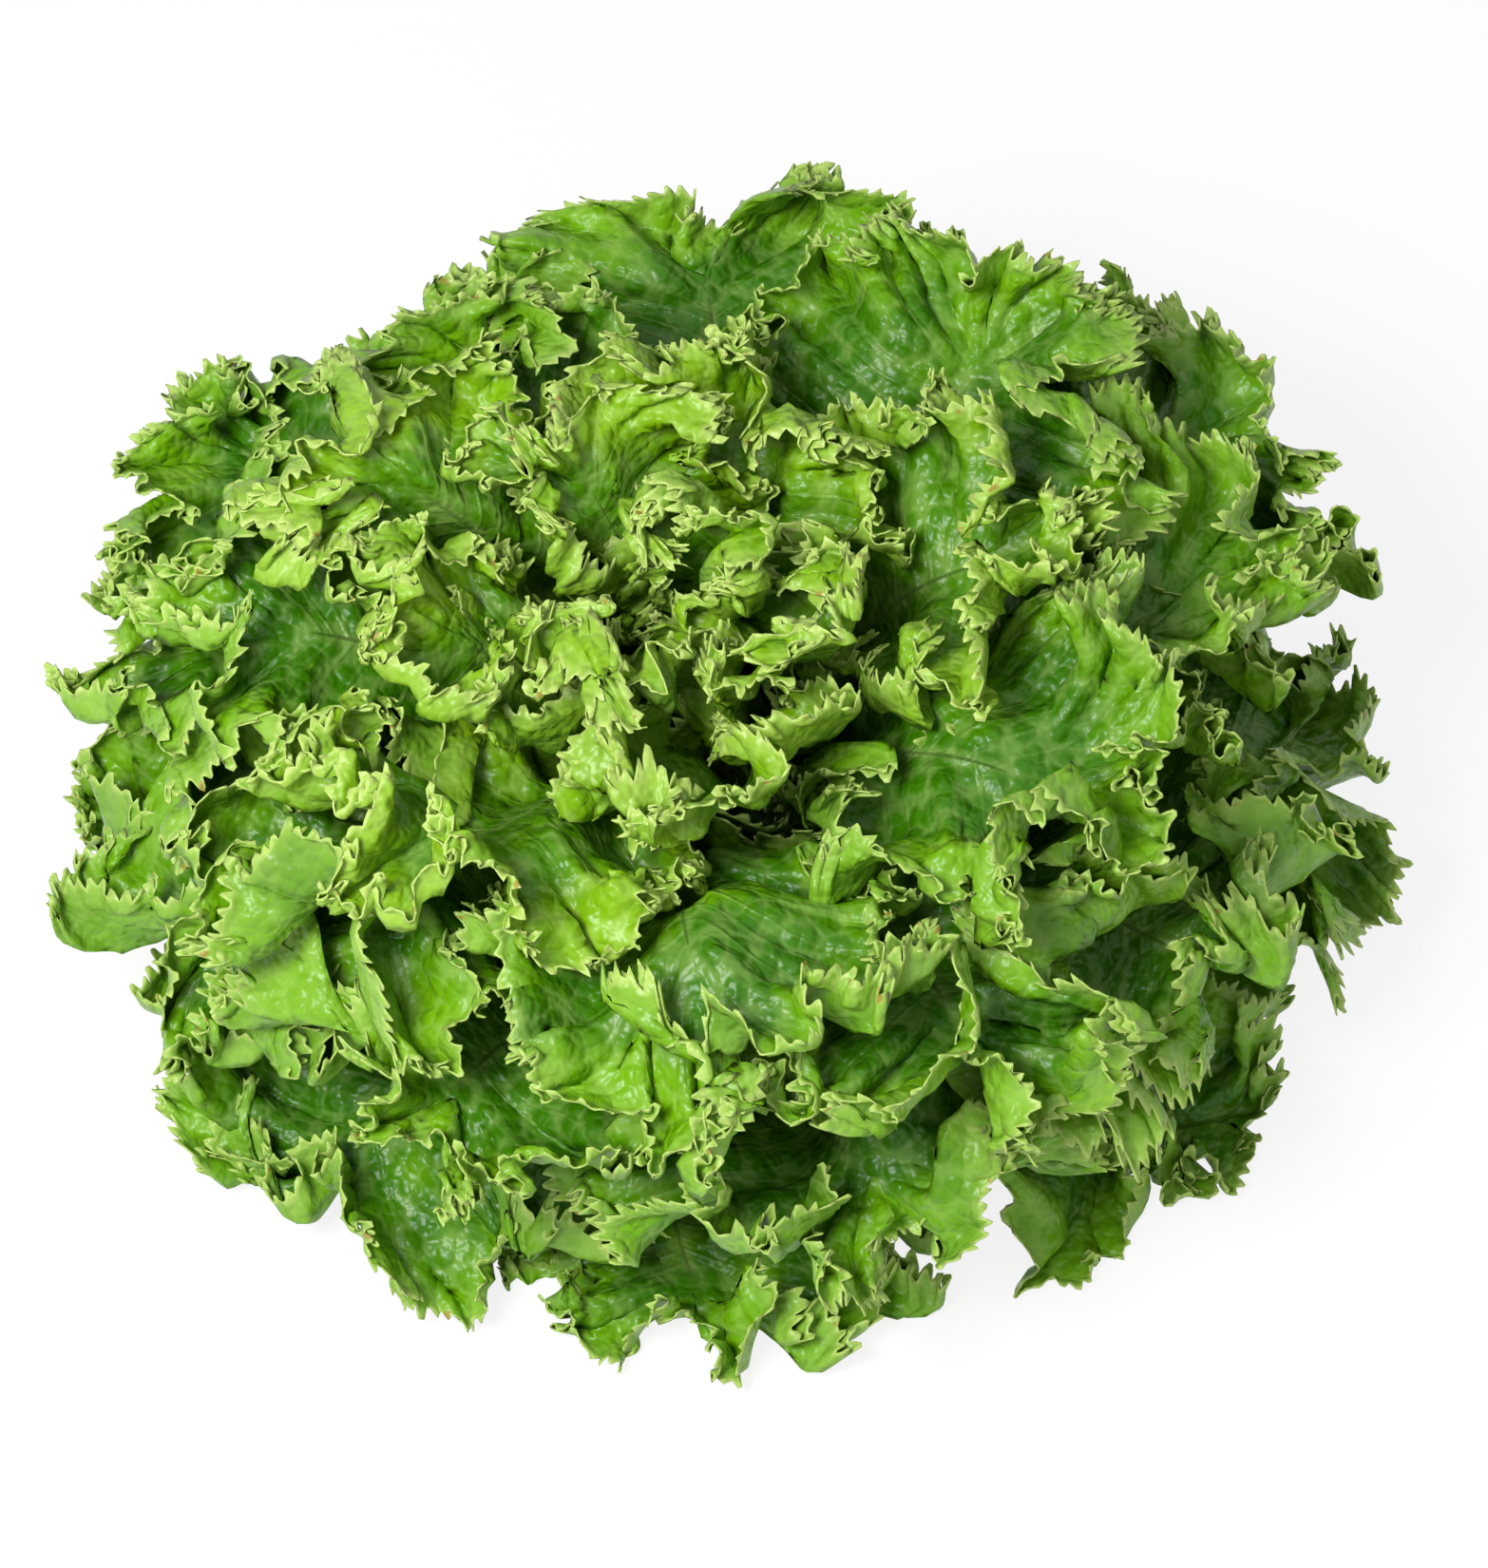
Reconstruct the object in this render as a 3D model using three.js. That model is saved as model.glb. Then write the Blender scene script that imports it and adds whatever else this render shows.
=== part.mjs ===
// A head of curly leaf lettuce, cut through the stem and standing on the cut.
//
// Millimetres, +Z up, origin in the middle of the cut face. The head is a short stem with leaves
// set on it in a spiral. Every leaf lies in a layer of its own: the layers are nested shells around
// the stem, flat along the table outside and nearly upright in the heart, so no two leaves touch.

import * as THREE from 'three';

// ---- driving dimensions ---------------------------------------------------------------------

const LEAF_COUNT = 36;
const OUTER_LEAVES = 12;
const HEART_LEAVES = 10;

const STEM_RADIUS = 19;
const STEM_HEIGHT = 52;
const STEM_BEVEL = 1.2;
const STEM_ROUNDING = 1.5; // the higher it is, the straighter the stem is below its top
const LOWEST_LEAF_Z = 9.5;
const HIGHEST_LEAF_Z = 46.5;
const STEM_GAP = 0.4;

// The leaf layers, from the outermost (level 0) to the innermost (level 1): the angle at which a
// leaf leaves the stem, the angle at its tip, and its length.
const LAYERS = [
  { level: 0.00, rise: 15, tip: -32.5, length: 128 },
  { level: 0.12, rise: 23, tip: -44, length: 142 },
  { level: 0.25, rise: 43, tip: -40, length: 154 },
  { level: 0.50, rise: 62, tip: -30, length: 160 },
  { level: 0.75, rise: 75, tip: -4, length: 143 },
  { level: 0.90, rise: 82, tip: 22, length: 124 },
  { level: 1.00, rise: 88, tip: 50, length: 109 },
];
const ARCH_POWER = 1.5; // above 1, a leaf bends most towards its tip

const GOLDEN_ANGLE = 137.508;
const FIRST_AZIMUTH = -96;
const AZIMUTH_SCATTER = 5;
const LENGTH_SCATTER = 0.07;
const STRAY_LEAF = 3; // one low leaf that reaches out past its neighbours
const STRAY_LENGTH = 0.04;
const SWING = 15; // degrees that a leaf bends sideways on its way out
const TWIST = 0.03; // levels a radian by which one margin lies over its neighbour

// The leaf blade: a narrow stalk that opens into a broad fan.
const STALK_HALF_WIDTH = 7;
const BLADE_HALF_WIDTH = 74;
const FAN_POWER = 1.3; // above 0, the higher it is, the nearer the tip the fan is widest
const HEART_FAN_POWER = 2.4;
const WIDTH_SCATTER = 0.1;
const HEART_NARROWING = 0.5; // shares that the innermost leaf loses of its width and its stalk
const HEART_STALK_NARROWING = 0.72;
const HEART_STALK_THINNING = 0.6;
const VEIN_SLANT = 0.78;
const BLADE_THICKNESS = 1.3;
const MARGIN_THICKNESS = 1;
const STALK_THICKNESS = 3;

// Slow waves that all the layers share, as levels that a leaf is lifted by at its tip: small waves,
// broad folds, and clumps that bring some leaves closer and set others apart.
const WAVE_COUNT = 11;
const WAVE_LEVEL = 0.04;
const WAVE_DRIFT = 4;
const FOLD_COUNT = 7;
const FOLD_LEVEL = 0.03;
const FOLD_DRIFT = -4;
const CLUMP_COUNT = 3;
const CLUMP_LEVEL = 0.012;
const CLUMP_DRIFT = 28;

// The lean of the heart, the depth of the head against its width, and its uneven outline: how many
// times round the head it bulges, by what share, and towards which azimuth.
const LEAN_X = -20;
const LEAN_Y = -8;
const LEAN_HEIGHT = 100;
const DEPTH_SHARE = 0.95;
const SPREAD = 0.975;
const BULGES = [
  { count: 1, share: 0.07, towards: 52 },
  { count: 2, share: 0.055, towards: 17 },
  { count: 3, share: 0.065, towards: 37 },
];
const BULGE_EASE = 12; // millimetres beyond the stem over which the outline takes effect

// Mesh steps: from a leaf's stalk to its tip, from its midrib to its margin, along the profile of
// a layer, and round and up the stem.
const MARGIN_STEPS = 13;
const VEIN_STEPS = 4;
const PROFILE_STEPS = 24;
const STEM_SIDES = 28;
const STEM_STEPS = 9;

// ---- small helpers --------------------------------------------------------------------------

const radians = THREE.MathUtils.degToRad;
const lerp = THREE.MathUtils.lerp;

/** A steady number between -1 and 1 for leaf `index` and one of its traits. */
function scatter(index, trait) {
  const wave = Math.sin(index * 12.9898 + trait * 78.233) * 437.585;
  return 2 * (wave - Math.floor(wave)) - 1;
}

/** One dimension of the leaf layer at `level`, between the two nearest stated layers. */
function layerValue(level, key) {
  const last = LAYERS.length - 2;
  const below = LAYERS.findLastIndex((layer) => layer.level <= level);
  const start = Math.min(Math.max(below, 0), last);
  const from = LAYERS[start];
  const to = LAYERS[start + 1];
  return lerp(from[key], to[key], (level - from.level) / (to.level - from.level));
}

// ---- the stem -------------------------------------------------------------------------------

/** Radius of the stem at height `z`: a rounded cone. */
function stemRadius(z) {
  const height = Math.min(Math.max(z / STEM_HEIGHT, 0), 1);
  return STEM_RADIUS * Math.cos((Math.PI / 2) * height ** STEM_ROUNDING);
}

/** The stem, turned from its profile, with a flat cut face at z = 0. */
function stemGeometry() {
  const outline = [new THREE.Vector2(0, 0), new THREE.Vector2(STEM_RADIUS - STEM_BEVEL, 0)];
  for (let step = 0; step < STEM_STEPS; step += 1) {
    const z = lerp(STEM_BEVEL, STEM_HEIGHT, step / STEM_STEPS);
    outline.push(new THREE.Vector2(stemRadius(z), z));
  }
  outline.push(new THREE.Vector2(0, STEM_HEIGHT));
  const geometry = new THREE.LatheGeometry(outline, STEM_SIDES);
  geometry.rotateX(Math.PI / 2);
  geometry.scale(1, DEPTH_SHARE, 1);
  return geometry;
}

// ---- the nest of leaf layers ----------------------------------------------------------------

/** Radius and height on the layer at `level`, `run` millimetres out from the stem. */
function layerProfile(level, run) {
  const z = lerp(LOWEST_LEAF_Z, HIGHEST_LEAF_Z, level);
  const point = new THREE.Vector2(stemRadius(z) + STEM_GAP, z);
  const rise = radians(layerValue(level, 'rise'));
  const tip = radians(layerValue(level, 'tip'));
  const length = layerValue(level, 'length');
  const stride = run / PROFILE_STEPS;
  for (let step = 0; step < PROFILE_STEPS; step += 1) {
    const along = stride * (step + 0.5);
    const angle = lerp(rise, tip, (along / length) ** ARCH_POWER);
    point.x += Math.cos(angle) * stride;
    point.y += Math.sin(angle) * stride;
  }
  return point;
}

/** 1 halfway up the nest, falling to 0 at its outermost and innermost layers. */
function midway(level) {
  return 4 * Math.max(level, 0) * (1 - level);
}

/** How many levels the shared waves lift the point at an azimuth, the share `out` of the way. */
function sharedWave(azimuth, out, level) {
  const wave = WAVE_LEVEL * out * out * Math.sin(WAVE_COUNT * azimuth + WAVE_DRIFT * level);
  const fold = FOLD_LEVEL * out * out * Math.sin(FOLD_COUNT * azimuth + FOLD_DRIFT * level);
  const clump = CLUMP_LEVEL * out * Math.sin(CLUMP_COUNT * azimuth + CLUMP_DRIFT * level);
  return (wave + fold + clump) * midway(level);
}

/** The radius that the uneven outline gives a point at an azimuth. */
function spreadRadius(azimuth, radius) {
  const bulges = BULGES.map(
    ({ count, share, towards }) => share * Math.cos(count * (azimuth - radians(towards))),
  );
  const spread = SPREAD * (1 + bulges.reduce((sum, bulge) => sum + bulge, 0));
  const beyond = Math.max(radius - STEM_RADIUS, 0);
  return radius + ((spread - 1) * beyond * beyond) / (beyond + BULGE_EASE);
}

/** The point of the head at an azimuth (radians), `run` along the layer at `level`. */
function headPoint(azimuth, run, level) {
  const out = run / layerValue(level, 'length');
  const profile = layerProfile(level + sharedWave(azimuth, out, level), run);
  const radius = spreadRadius(azimuth, profile.x);
  const lean = (Math.max(profile.y - STEM_HEIGHT, 0) / LEAN_HEIGHT) ** 2;
  return new THREE.Vector3(
    radius * Math.cos(azimuth) + LEAN_X * lean,
    DEPTH_SHARE * radius * Math.sin(azimuth) + LEAN_Y * lean,
    profile.y,
  );
}

/** How far apart two layers lie at a point, in millimetres a unit of level. */
function layerSpacing(azimuth, run, level) {
  const small = 0.01;
  const here = headPoint(azimuth, run, level);
  const along = headPoint(azimuth, run + 1, level).sub(here);
  const around = headPoint(azimuth + small, run, level).sub(here);
  const across = headPoint(azimuth, run, level + small).sub(here);
  const normal = along.cross(around).normalize();
  return Math.abs(across.dot(normal)) / small;
}

// ---- one leaf -------------------------------------------------------------------------------

/** The sizes and the place of leaf `index`, counted from the outside in. */
function leafPlan(index) {
  const level = index / (LEAF_COUNT - 1);
  const azimuth = FIRST_AZIMUTH + index * GOLDEN_ANGLE + AZIMUTH_SCATTER * scatter(index, 1);
  const uneven = LENGTH_SCATTER * Math.min(3 * level, 1) * scatter(index, 2);
  const extra = index === STRAY_LEAF ? STRAY_LENGTH : 0;
  const narrowing = 1 - HEART_NARROWING * level ** 2;
  return {
    level,
    azimuth: radians(azimuth),
    swing: radians(SWING) * scatter(index, 4),
    length: layerValue(level, 'length') * (1 + uneven + extra),
    halfWidth: BLADE_HALF_WIDTH * narrowing * (1 + WIDTH_SCATTER * scatter(index, 3)),
    stalkHalfWidth: STALK_HALF_WIDTH * (1 - HEART_STALK_NARROWING * level),
    stalkThickness: STALK_THICKNESS * (1 - HEART_STALK_THINNING * level),
    fanPower: lerp(FAN_POWER, HEART_FAN_POWER, level),
  };
}

/** Half the width of the blade at the share `out` of its length. */
function halfWidthAt(plan, out) {
  const widest = plan.fanPower / (plan.fanPower + 0.5);
  const most = widest ** plan.fanPower * Math.sqrt(1 - widest);
  const end = Math.sqrt(Math.max(1 - out, 0));
  return (plan.halfWidth * out ** plan.fanPower * end) / most + plan.stalkHalfWidth * end;
}

/**
 * A point of the leaf. `turn` runs from 0 at the stalk to 1 at the tip, `reach` from 0 on the
 * midrib to 1 on the margin, `side` is -1 or 1, and `face` is -1 below and 1 above.
 */
function leafPoint(plan, turn, reach, side, face) {
  const out = 1 - (1 - turn) ** 2;
  const alongVein = lerp(VEIN_SLANT * out, out, reach);
  const run = plan.length * alongVein;
  const across = side * reach * halfWidthAt(plan, out);
  const radius = layerProfile(plan.level, Math.max(run, 1)).x;
  const turned = across / radius;
  const azimuth = plan.azimuth + plan.swing * alongVein ** 2 + turned;
  const level = plan.level + TWIST * midway(plan.level) * turned;
  const stalk = (1 - alongVein) ** 2 * (1 - reach);
  const blade = lerp(BLADE_THICKNESS, MARGIN_THICKNESS, reach);
  const thickness = blade + (plan.stalkThickness - BLADE_THICKNESS) * stalk;
  const offset = thickness / 2 / layerSpacing(azimuth, run, level);
  return headPoint(azimuth, run, level + face * offset);
}

/** The closed shell of a leaf: an upper face, a lower face and the rim that joins them. */
function leafGeometry(plan) {
  const columns = 2 * MARGIN_STEPS;
  const positions = [];
  const faces = [-1, 1].map((face) => {
    const midrib = [];
    for (let step = 0; step <= MARGIN_STEPS; step += 1) {
      midrib.push(positions.length / 3);
      positions.push(...leafPoint(plan, step / MARGIN_STEPS, 0, 1, face));
    }
    const grid = [];
    for (let column = 0; column <= columns; column += 1) {
      const step = Math.min(column, columns - column);
      const line = [midrib[step]];
      const side = Math.sign(MARGIN_STEPS - column);
      for (let row = 1; row <= VEIN_STEPS; row += 1) {
        line.push(positions.length / 3);
        positions.push(...leafPoint(plan, step / MARGIN_STEPS, row / VEIN_STEPS, side, face));
      }
      grid.push(line);
    }
    return grid;
  });

  const triangles = [];
  const [below, above] = faces;
  for (let column = 0; column < columns; column += 1) {
    for (let row = 0; row < VEIN_STEPS; row += 1) {
      const [a, b] = [below[column][row], below[column + 1][row]];
      const [c, d] = [below[column + 1][row + 1], below[column][row + 1]];
      triangles.push([a, c, b], [a, d, c]);
      const [e, f] = [above[column][row], above[column + 1][row]];
      const [g, h] = [above[column + 1][row + 1], above[column][row + 1]];
      triangles.push([e, f, g], [e, g, h]);
    }
  }
  const rimOf = (grid) => [
    ...grid.map((line) => line[VEIN_STEPS]),
    ...grid[columns].slice(0, VEIN_STEPS).reverse(),
    ...grid[0].slice(1, VEIN_STEPS),
  ];
  const lower = rimOf(below);
  const upper = rimOf(above);
  lower.forEach((corner, index) => {
    const next = (index + 1) % lower.length;
    triangles.push([corner, upper[next], lower[next]], [corner, upper[index], upper[next]]);
  });

  const geometry = new THREE.BufferGeometry();
  geometry.setAttribute('position', new THREE.Float32BufferAttribute(positions, 3));
  const solid = triangles.filter(([a, b, c]) => a !== b && b !== c && c !== a);
  geometry.setIndex(solid.flat());
  geometry.computeVertexNormals();
  return geometry;
}

// ---- the head -------------------------------------------------------------------------------

function leafMaterial(level) {
  const colour = new THREE.Color(0x4f8f22).lerp(new THREE.Color(0xa4cf4e), level);
  return new THREE.MeshStandardMaterial({ color: colour, roughness: 0.45, metalness: 0 });
}

function stemMaterial() {
  return new THREE.MeshStandardMaterial({ color: 0xd9e0b0, roughness: 0.6, metalness: 0 });
}

function named(name, geometry, material) {
  const mesh = new THREE.Mesh(geometry, material);
  mesh.name = name;
  return mesh;
}

/** The name of leaf `index`: outer, middle or heart leaf, numbered from the outside in. */
function leafName(index) {
  const heartStart = LEAF_COUNT - HEART_LEAVES;
  if (index < OUTER_LEAVES) {
    return `outer_leaf_${String(index + 1).padStart(2, '0')}`;
  }
  if (index < heartStart) {
    return `middle_leaf_${String(index - OUTER_LEAVES + 1).padStart(2, '0')}`;
  }
  return `heart_leaf_${String(index - heartStart + 1).padStart(2, '0')}`;
}

function lettuceHead() {
  const head = new THREE.Group();
  head.add(named('stem', stemGeometry(), stemMaterial()));
  for (let index = 0; index < LEAF_COUNT; index += 1) {
    const plan = leafPlan(index);
    head.add(named(leafName(index), leafGeometry(plan), leafMaterial(plan.level)));
  }
  return head;
}

export default lettuceHead();
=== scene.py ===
"""A head of curly leaf lettuce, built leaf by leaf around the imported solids.

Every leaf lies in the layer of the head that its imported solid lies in. Its margin is longer than
the blade that carries it, so it is thrown into waves on waves, and it ends in small teeth.
Shapes are worked out in millimetres and turned into metres as each mesh is made.
"""

import logging
import math
from dataclasses import dataclass
from enum import Enum

import bpy
import numpy as np
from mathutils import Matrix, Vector


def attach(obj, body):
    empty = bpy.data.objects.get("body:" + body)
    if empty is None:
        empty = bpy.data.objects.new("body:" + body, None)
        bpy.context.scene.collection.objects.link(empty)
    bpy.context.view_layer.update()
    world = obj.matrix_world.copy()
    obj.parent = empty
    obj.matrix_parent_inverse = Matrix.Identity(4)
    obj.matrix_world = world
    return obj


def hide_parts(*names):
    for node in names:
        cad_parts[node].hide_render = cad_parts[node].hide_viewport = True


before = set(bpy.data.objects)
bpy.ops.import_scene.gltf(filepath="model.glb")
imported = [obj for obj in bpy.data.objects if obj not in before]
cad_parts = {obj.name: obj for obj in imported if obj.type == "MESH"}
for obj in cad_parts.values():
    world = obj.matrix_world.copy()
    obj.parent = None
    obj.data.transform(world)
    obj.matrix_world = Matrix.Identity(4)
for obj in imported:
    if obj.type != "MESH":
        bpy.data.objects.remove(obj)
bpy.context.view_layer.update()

log = logging.getLogger("lettuce")

METRES = 0.001
FULL_TURN = 2.0 * math.pi
Array = np.ndarray


# ---- helpers for numbers --------------------------------------------------------------------


def smooth_step(value: Array, low: float, high: float) -> Array:
    """0 below low, 1 above high, and an even curve between them."""
    share = np.clip((value - low) / (high - low), 0.0, 1.0)
    return share * share * (3.0 - 2.0 * share)


def unit(vectors: Array) -> Array:
    """Vectors of length 1 along the last axis."""
    size = np.linalg.norm(vectors, axis=-1, keepdims=True)
    return vectors / np.maximum(size, 1e-9)


class Trait(Enum):
    """What differs a little from leaf to leaf."""

    AZIMUTH = 1
    LENGTH = 2
    WIDTH = 3
    SWING = 4
    STAND = 5
    TILT = 6


# Steps that leave no pattern in the sines of whole numbers.
NUMBER_STEP = 12.9898
TRAIT_STEP = 78.233
SCATTER_STRETCH = 437.585


def scatter(index: int, trait: Trait) -> float:
    """A steady number between -1 and 1 for a leaf and one of its traits."""
    wave = math.sin(index * NUMBER_STEP + trait.value * TRAIT_STEP) * SCATTER_STRETCH
    return 2.0 * (wave - math.floor(wave)) - 1.0


def running_mean(values: Array, window: int) -> Array:
    """The mean over a window of columns, along the last axis, mirrored at both ends."""
    window = max(3, window | 1)
    half = window // 2
    padded = np.pad(values, [(0, 0)] * (values.ndim - 1) + [(half, half)], mode="reflect")
    total = np.cumsum(padded, axis=-1)
    total = np.concatenate([np.zeros_like(total[..., :1]), total], axis=-1)
    return (total[..., window:] - total[..., :-window]) / window


class Wander:
    """Smooth seeded noise along a line, between -1 and 1."""

    def __init__(self, rng: np.random.Generator, reach: float, spacing: float) -> None:
        """Draws the knots.

        Args:
            rng: where the knots come from.
            reach: how long the line is, in millimetres.
            spacing: the distance between knots, in millimetres.
        """
        self.spacing = spacing
        self.knots = rng.uniform(-1.0, 1.0, int(reach / spacing) + 4)

    def __call__(self, along: Array) -> Array:
        """The noise at each distance along the line."""
        place = along / self.spacing
        start = np.clip(np.floor(place).astype(int), 0, len(self.knots) - 2)
        share = smooth_step(place - start, 0.0, 1.0)
        return self.knots[start] * (1.0 - share) + self.knots[start + 1] * share


class Lattice:
    """Smooth seeded noise over a plane, between -1 and 1."""

    SIZE = 64

    def __init__(self, rng: np.random.Generator, spacing: float) -> None:
        """Draws the lattice, whose points lie `spacing` millimetres apart."""
        self.spacing = spacing
        self.knots = rng.uniform(-1.0, 1.0, (self.SIZE, self.SIZE))

    def __call__(self, u: Array, v: Array) -> Array:
        """The noise at each place."""
        u, v = u / self.spacing, v / self.spacing
        iu, iv = np.floor(u).astype(int), np.floor(v).astype(int)
        fu, fv = smooth_step(u - iu, 0.0, 1.0), smooth_step(v - iv, 0.0, 1.0)
        knots, size = self.knots, self.SIZE
        near = knots[iu % size, iv % size] * (1 - fu) + knots[(iu + 1) % size, iv % size] * fu
        far = knots[iu % size, (iv + 1) % size] * (1 - fu)
        far = far + knots[(iu + 1) % size, (iv + 1) % size] * fu
        return near * (1 - fv) + far * fv


# ---- helpers for meshes ---------------------------------------------------------------------


def mesh_object(name: str, places: Array, faces: list[tuple[int, ...]]) -> bpy.types.Object:
    """Makes an object from points in millimetres and faces."""
    mesh = bpy.data.meshes.new(name)
    mesh.from_pydata((places * METRES).tolist(), [], [tuple(map(int, face)) for face in faces])
    mesh.validate()
    mesh.polygons.foreach_set("use_smooth", [True] * len(mesh.polygons))
    mesh.update()
    piece = bpy.data.objects.new(name, mesh)
    bpy.context.scene.collection.objects.link(piece)
    return piece


def write_attribute(piece: bpy.types.Object, name: str, values: Array) -> None:
    """Stores one number at each point of a mesh."""
    attribute = piece.data.attributes.new(name, "FLOAT", "POINT")
    attribute.data.foreach_set("value", values.astype(np.float32))


def triangles(piece: bpy.types.Object) -> int:
    """How many triangles the faces of a piece come to."""
    return sum(len(face.vertices) - 2 for face in piece.data.polygons)


# ---- the head as a whole --------------------------------------------------------------------


@dataclass(frozen=True)
class Layer:
    """One leaf layer: the angle at the stem, the angle at the tip and the length."""

    level: float
    rise: float
    tip: float
    length: float


@dataclass(frozen=True)
class Bulge:
    """A share by which the outline swells a number of times round the head."""

    count: int
    share: float
    towards: float


@dataclass(frozen=True)
class SharedWave:
    """A wave round the head that lifts all the layers together."""

    count: int
    level: float
    drift: float
    power: int


@dataclass(frozen=True)
class Nest:
    """The nested layers in which the leaves lie, from the outermost (0) to the heart (1)."""

    layers: tuple[Layer, ...] = (
        Layer(0.00, 15, -32.5, 128),
        Layer(0.12, 23, -44, 142),
        Layer(0.25, 43, -40, 154),
        Layer(0.50, 62, -30, 160),
        Layer(0.75, 75, -4, 143),
        Layer(0.90, 82, 22, 124),
        Layer(1.00, 88, 50, 109),
    )
    arch_power: float = 1.5
    arch_steps: int = 24
    stem_radius: float = 19.0
    stem_height: float = 52.0
    stem_taper: float = 1.5
    lowest_leaf: float = 9.5
    highest_leaf: float = 46.5
    stem_gap: float = 0.4
    waves: tuple[SharedWave, ...] = (
        SharedWave(11, 0.04, 4.0, 2),
        SharedWave(7, 0.03, -4.0, 2),
        SharedWave(3, 0.012, 28.0, 1),
    )
    lean: tuple[float, float] = (-20.0, -8.0)
    lean_height: float = 100.0
    depth_share: float = 0.95
    spread: float = 0.975
    bulges: tuple[Bulge, ...] = (Bulge(1, 0.07, 52), Bulge(2, 0.055, 17), Bulge(3, 0.065, 37))
    bulge_ease: float = 12.0

    def value(self, level: Array, key: str) -> Array:
        """One dimension of the layer at each level, between the two nearest stated layers."""
        levels = np.array([layer.level for layer in self.layers])
        values = np.array([getattr(layer, key) for layer in self.layers], dtype=float)
        start = np.clip(np.searchsorted(levels, level, side="right") - 1, 0, len(levels) - 2)
        share = (level - levels[start]) / (levels[start + 1] - levels[start])
        return values[start] * (1.0 - share) + values[start + 1] * share

    def radius_of_stem(self, z: Array) -> Array:
        """Radius of the stem at a height: a rounded cone."""
        height = np.clip(z / self.stem_height, 0.0, 1.0)
        return self.stem_radius * np.cos(FULL_TURN / 4 * height**self.stem_taper)

    def profile(self, level: Array, run: Array) -> tuple[Array, Array]:
        """Follows a layer outwards from the stem.

        Args:
            level: the layer.
            run: the distance along it from the stem.

        Returns:
            The radius and the height there.
        """
        z = self.lowest_leaf + (self.highest_leaf - self.lowest_leaf) * level
        radius = self.radius_of_stem(z) + self.stem_gap
        rise = np.radians(self.value(level, "rise"))
        tip = np.radians(self.value(level, "tip"))
        length = self.value(level, "length")
        for step in range(self.arch_steps):
            along = run * (step + 0.5) / self.arch_steps
            angle = rise + (tip - rise) * (along / length) ** self.arch_power
            radius = radius + np.cos(angle) * run / self.arch_steps
            z = z + np.sin(angle) * run / self.arch_steps
        return radius, z

    def midway(self, level: Array) -> Array:
        """1 halfway up the nest, falling to 0 at its outermost and innermost layers."""
        return 4.0 * np.maximum(level, 0.0) * (1.0 - level)

    def lifted(self, azimuth: Array, out: Array, level: Array) -> Array:
        """How many levels the shared waves lift each point."""
        lift = sum(
            wave.level * out**wave.power * np.sin(wave.count * azimuth + wave.drift * level)
            for wave in self.waves
        )
        return lift * self.midway(level)

    def spread_radius(self, azimuth: Array, radius: Array) -> Array:
        """The radius that the uneven outline gives each point."""
        swell = sum(
            bulge.share * np.cos(bulge.count * (azimuth - math.radians(bulge.towards)))
            for bulge in self.bulges
        )
        beyond = np.maximum(radius - self.stem_radius, 0.0)
        share = self.spread * (1.0 + swell) - 1.0
        return radius + share * beyond * beyond / (beyond + self.bulge_ease)

    def point(self, azimuth: Array, run: Array, level: Array) -> Array:
        """The points of the head at these azimuths, distances from the stem and levels."""
        out = run / self.value(level, "length")
        radius, z = self.profile(level + self.lifted(azimuth, out, level), run)
        radius = self.spread_radius(azimuth, radius)
        lean = (np.maximum(z - self.stem_height, 0.0) / self.lean_height) ** 2
        x = radius * np.cos(azimuth) + self.lean[0] * lean
        y = self.depth_share * radius * np.sin(azimuth) + self.lean[1] * lean
        return np.stack([x, y, z], axis=-1)


class LeafGroup(Enum):
    """The three kinds of leaf, from the outside in."""

    OUTER = "outer"
    MIDDLE = "middle"
    HEART = "heart"


@dataclass(frozen=True)
class HeadPlan:
    """How many leaves the head has, and how their sizes and places follow from their order."""

    leaves: int = 36
    outer_leaves: int = 12
    heart_leaves: int = 10
    golden_angle: float = 137.508
    first_azimuth: float = -96.0
    azimuth_scatter: float = 5.0
    length_scatter: float = 0.07
    swing: float = 15.0
    stalk_half_width: float = 7.0
    blade_half_width: float = 74.0
    heart_width: float = 0.5
    width_scatter: float = 0.1
    slenderness: float = 0.9
    heart_stalk: float = 0.28
    fan_power: float = 1.3
    heart_fan_power: float = 2.4
    heart_share: float = 0.2
    loose_power: float = 1.5
    first_seed: int = 1000
    stray_leaf: int = 3
    stray_length: float = 0.04

    def group(self, index: int) -> LeafGroup:
        """The kind of leaf that this one is."""
        if index < self.outer_leaves:
            return LeafGroup.OUTER
        if index < self.leaves - self.heart_leaves:
            return LeafGroup.MIDDLE
        return LeafGroup.HEART

    def name(self, index: int) -> str:
        """The name of this leaf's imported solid."""
        group = self.group(index)
        start = {
            LeafGroup.OUTER: 0,
            LeafGroup.MIDDLE: self.outer_leaves,
            LeafGroup.HEART: self.leaves - self.heart_leaves,
        }[group]
        return f"{group.value}_leaf_{index - start + 1:02d}"


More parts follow.
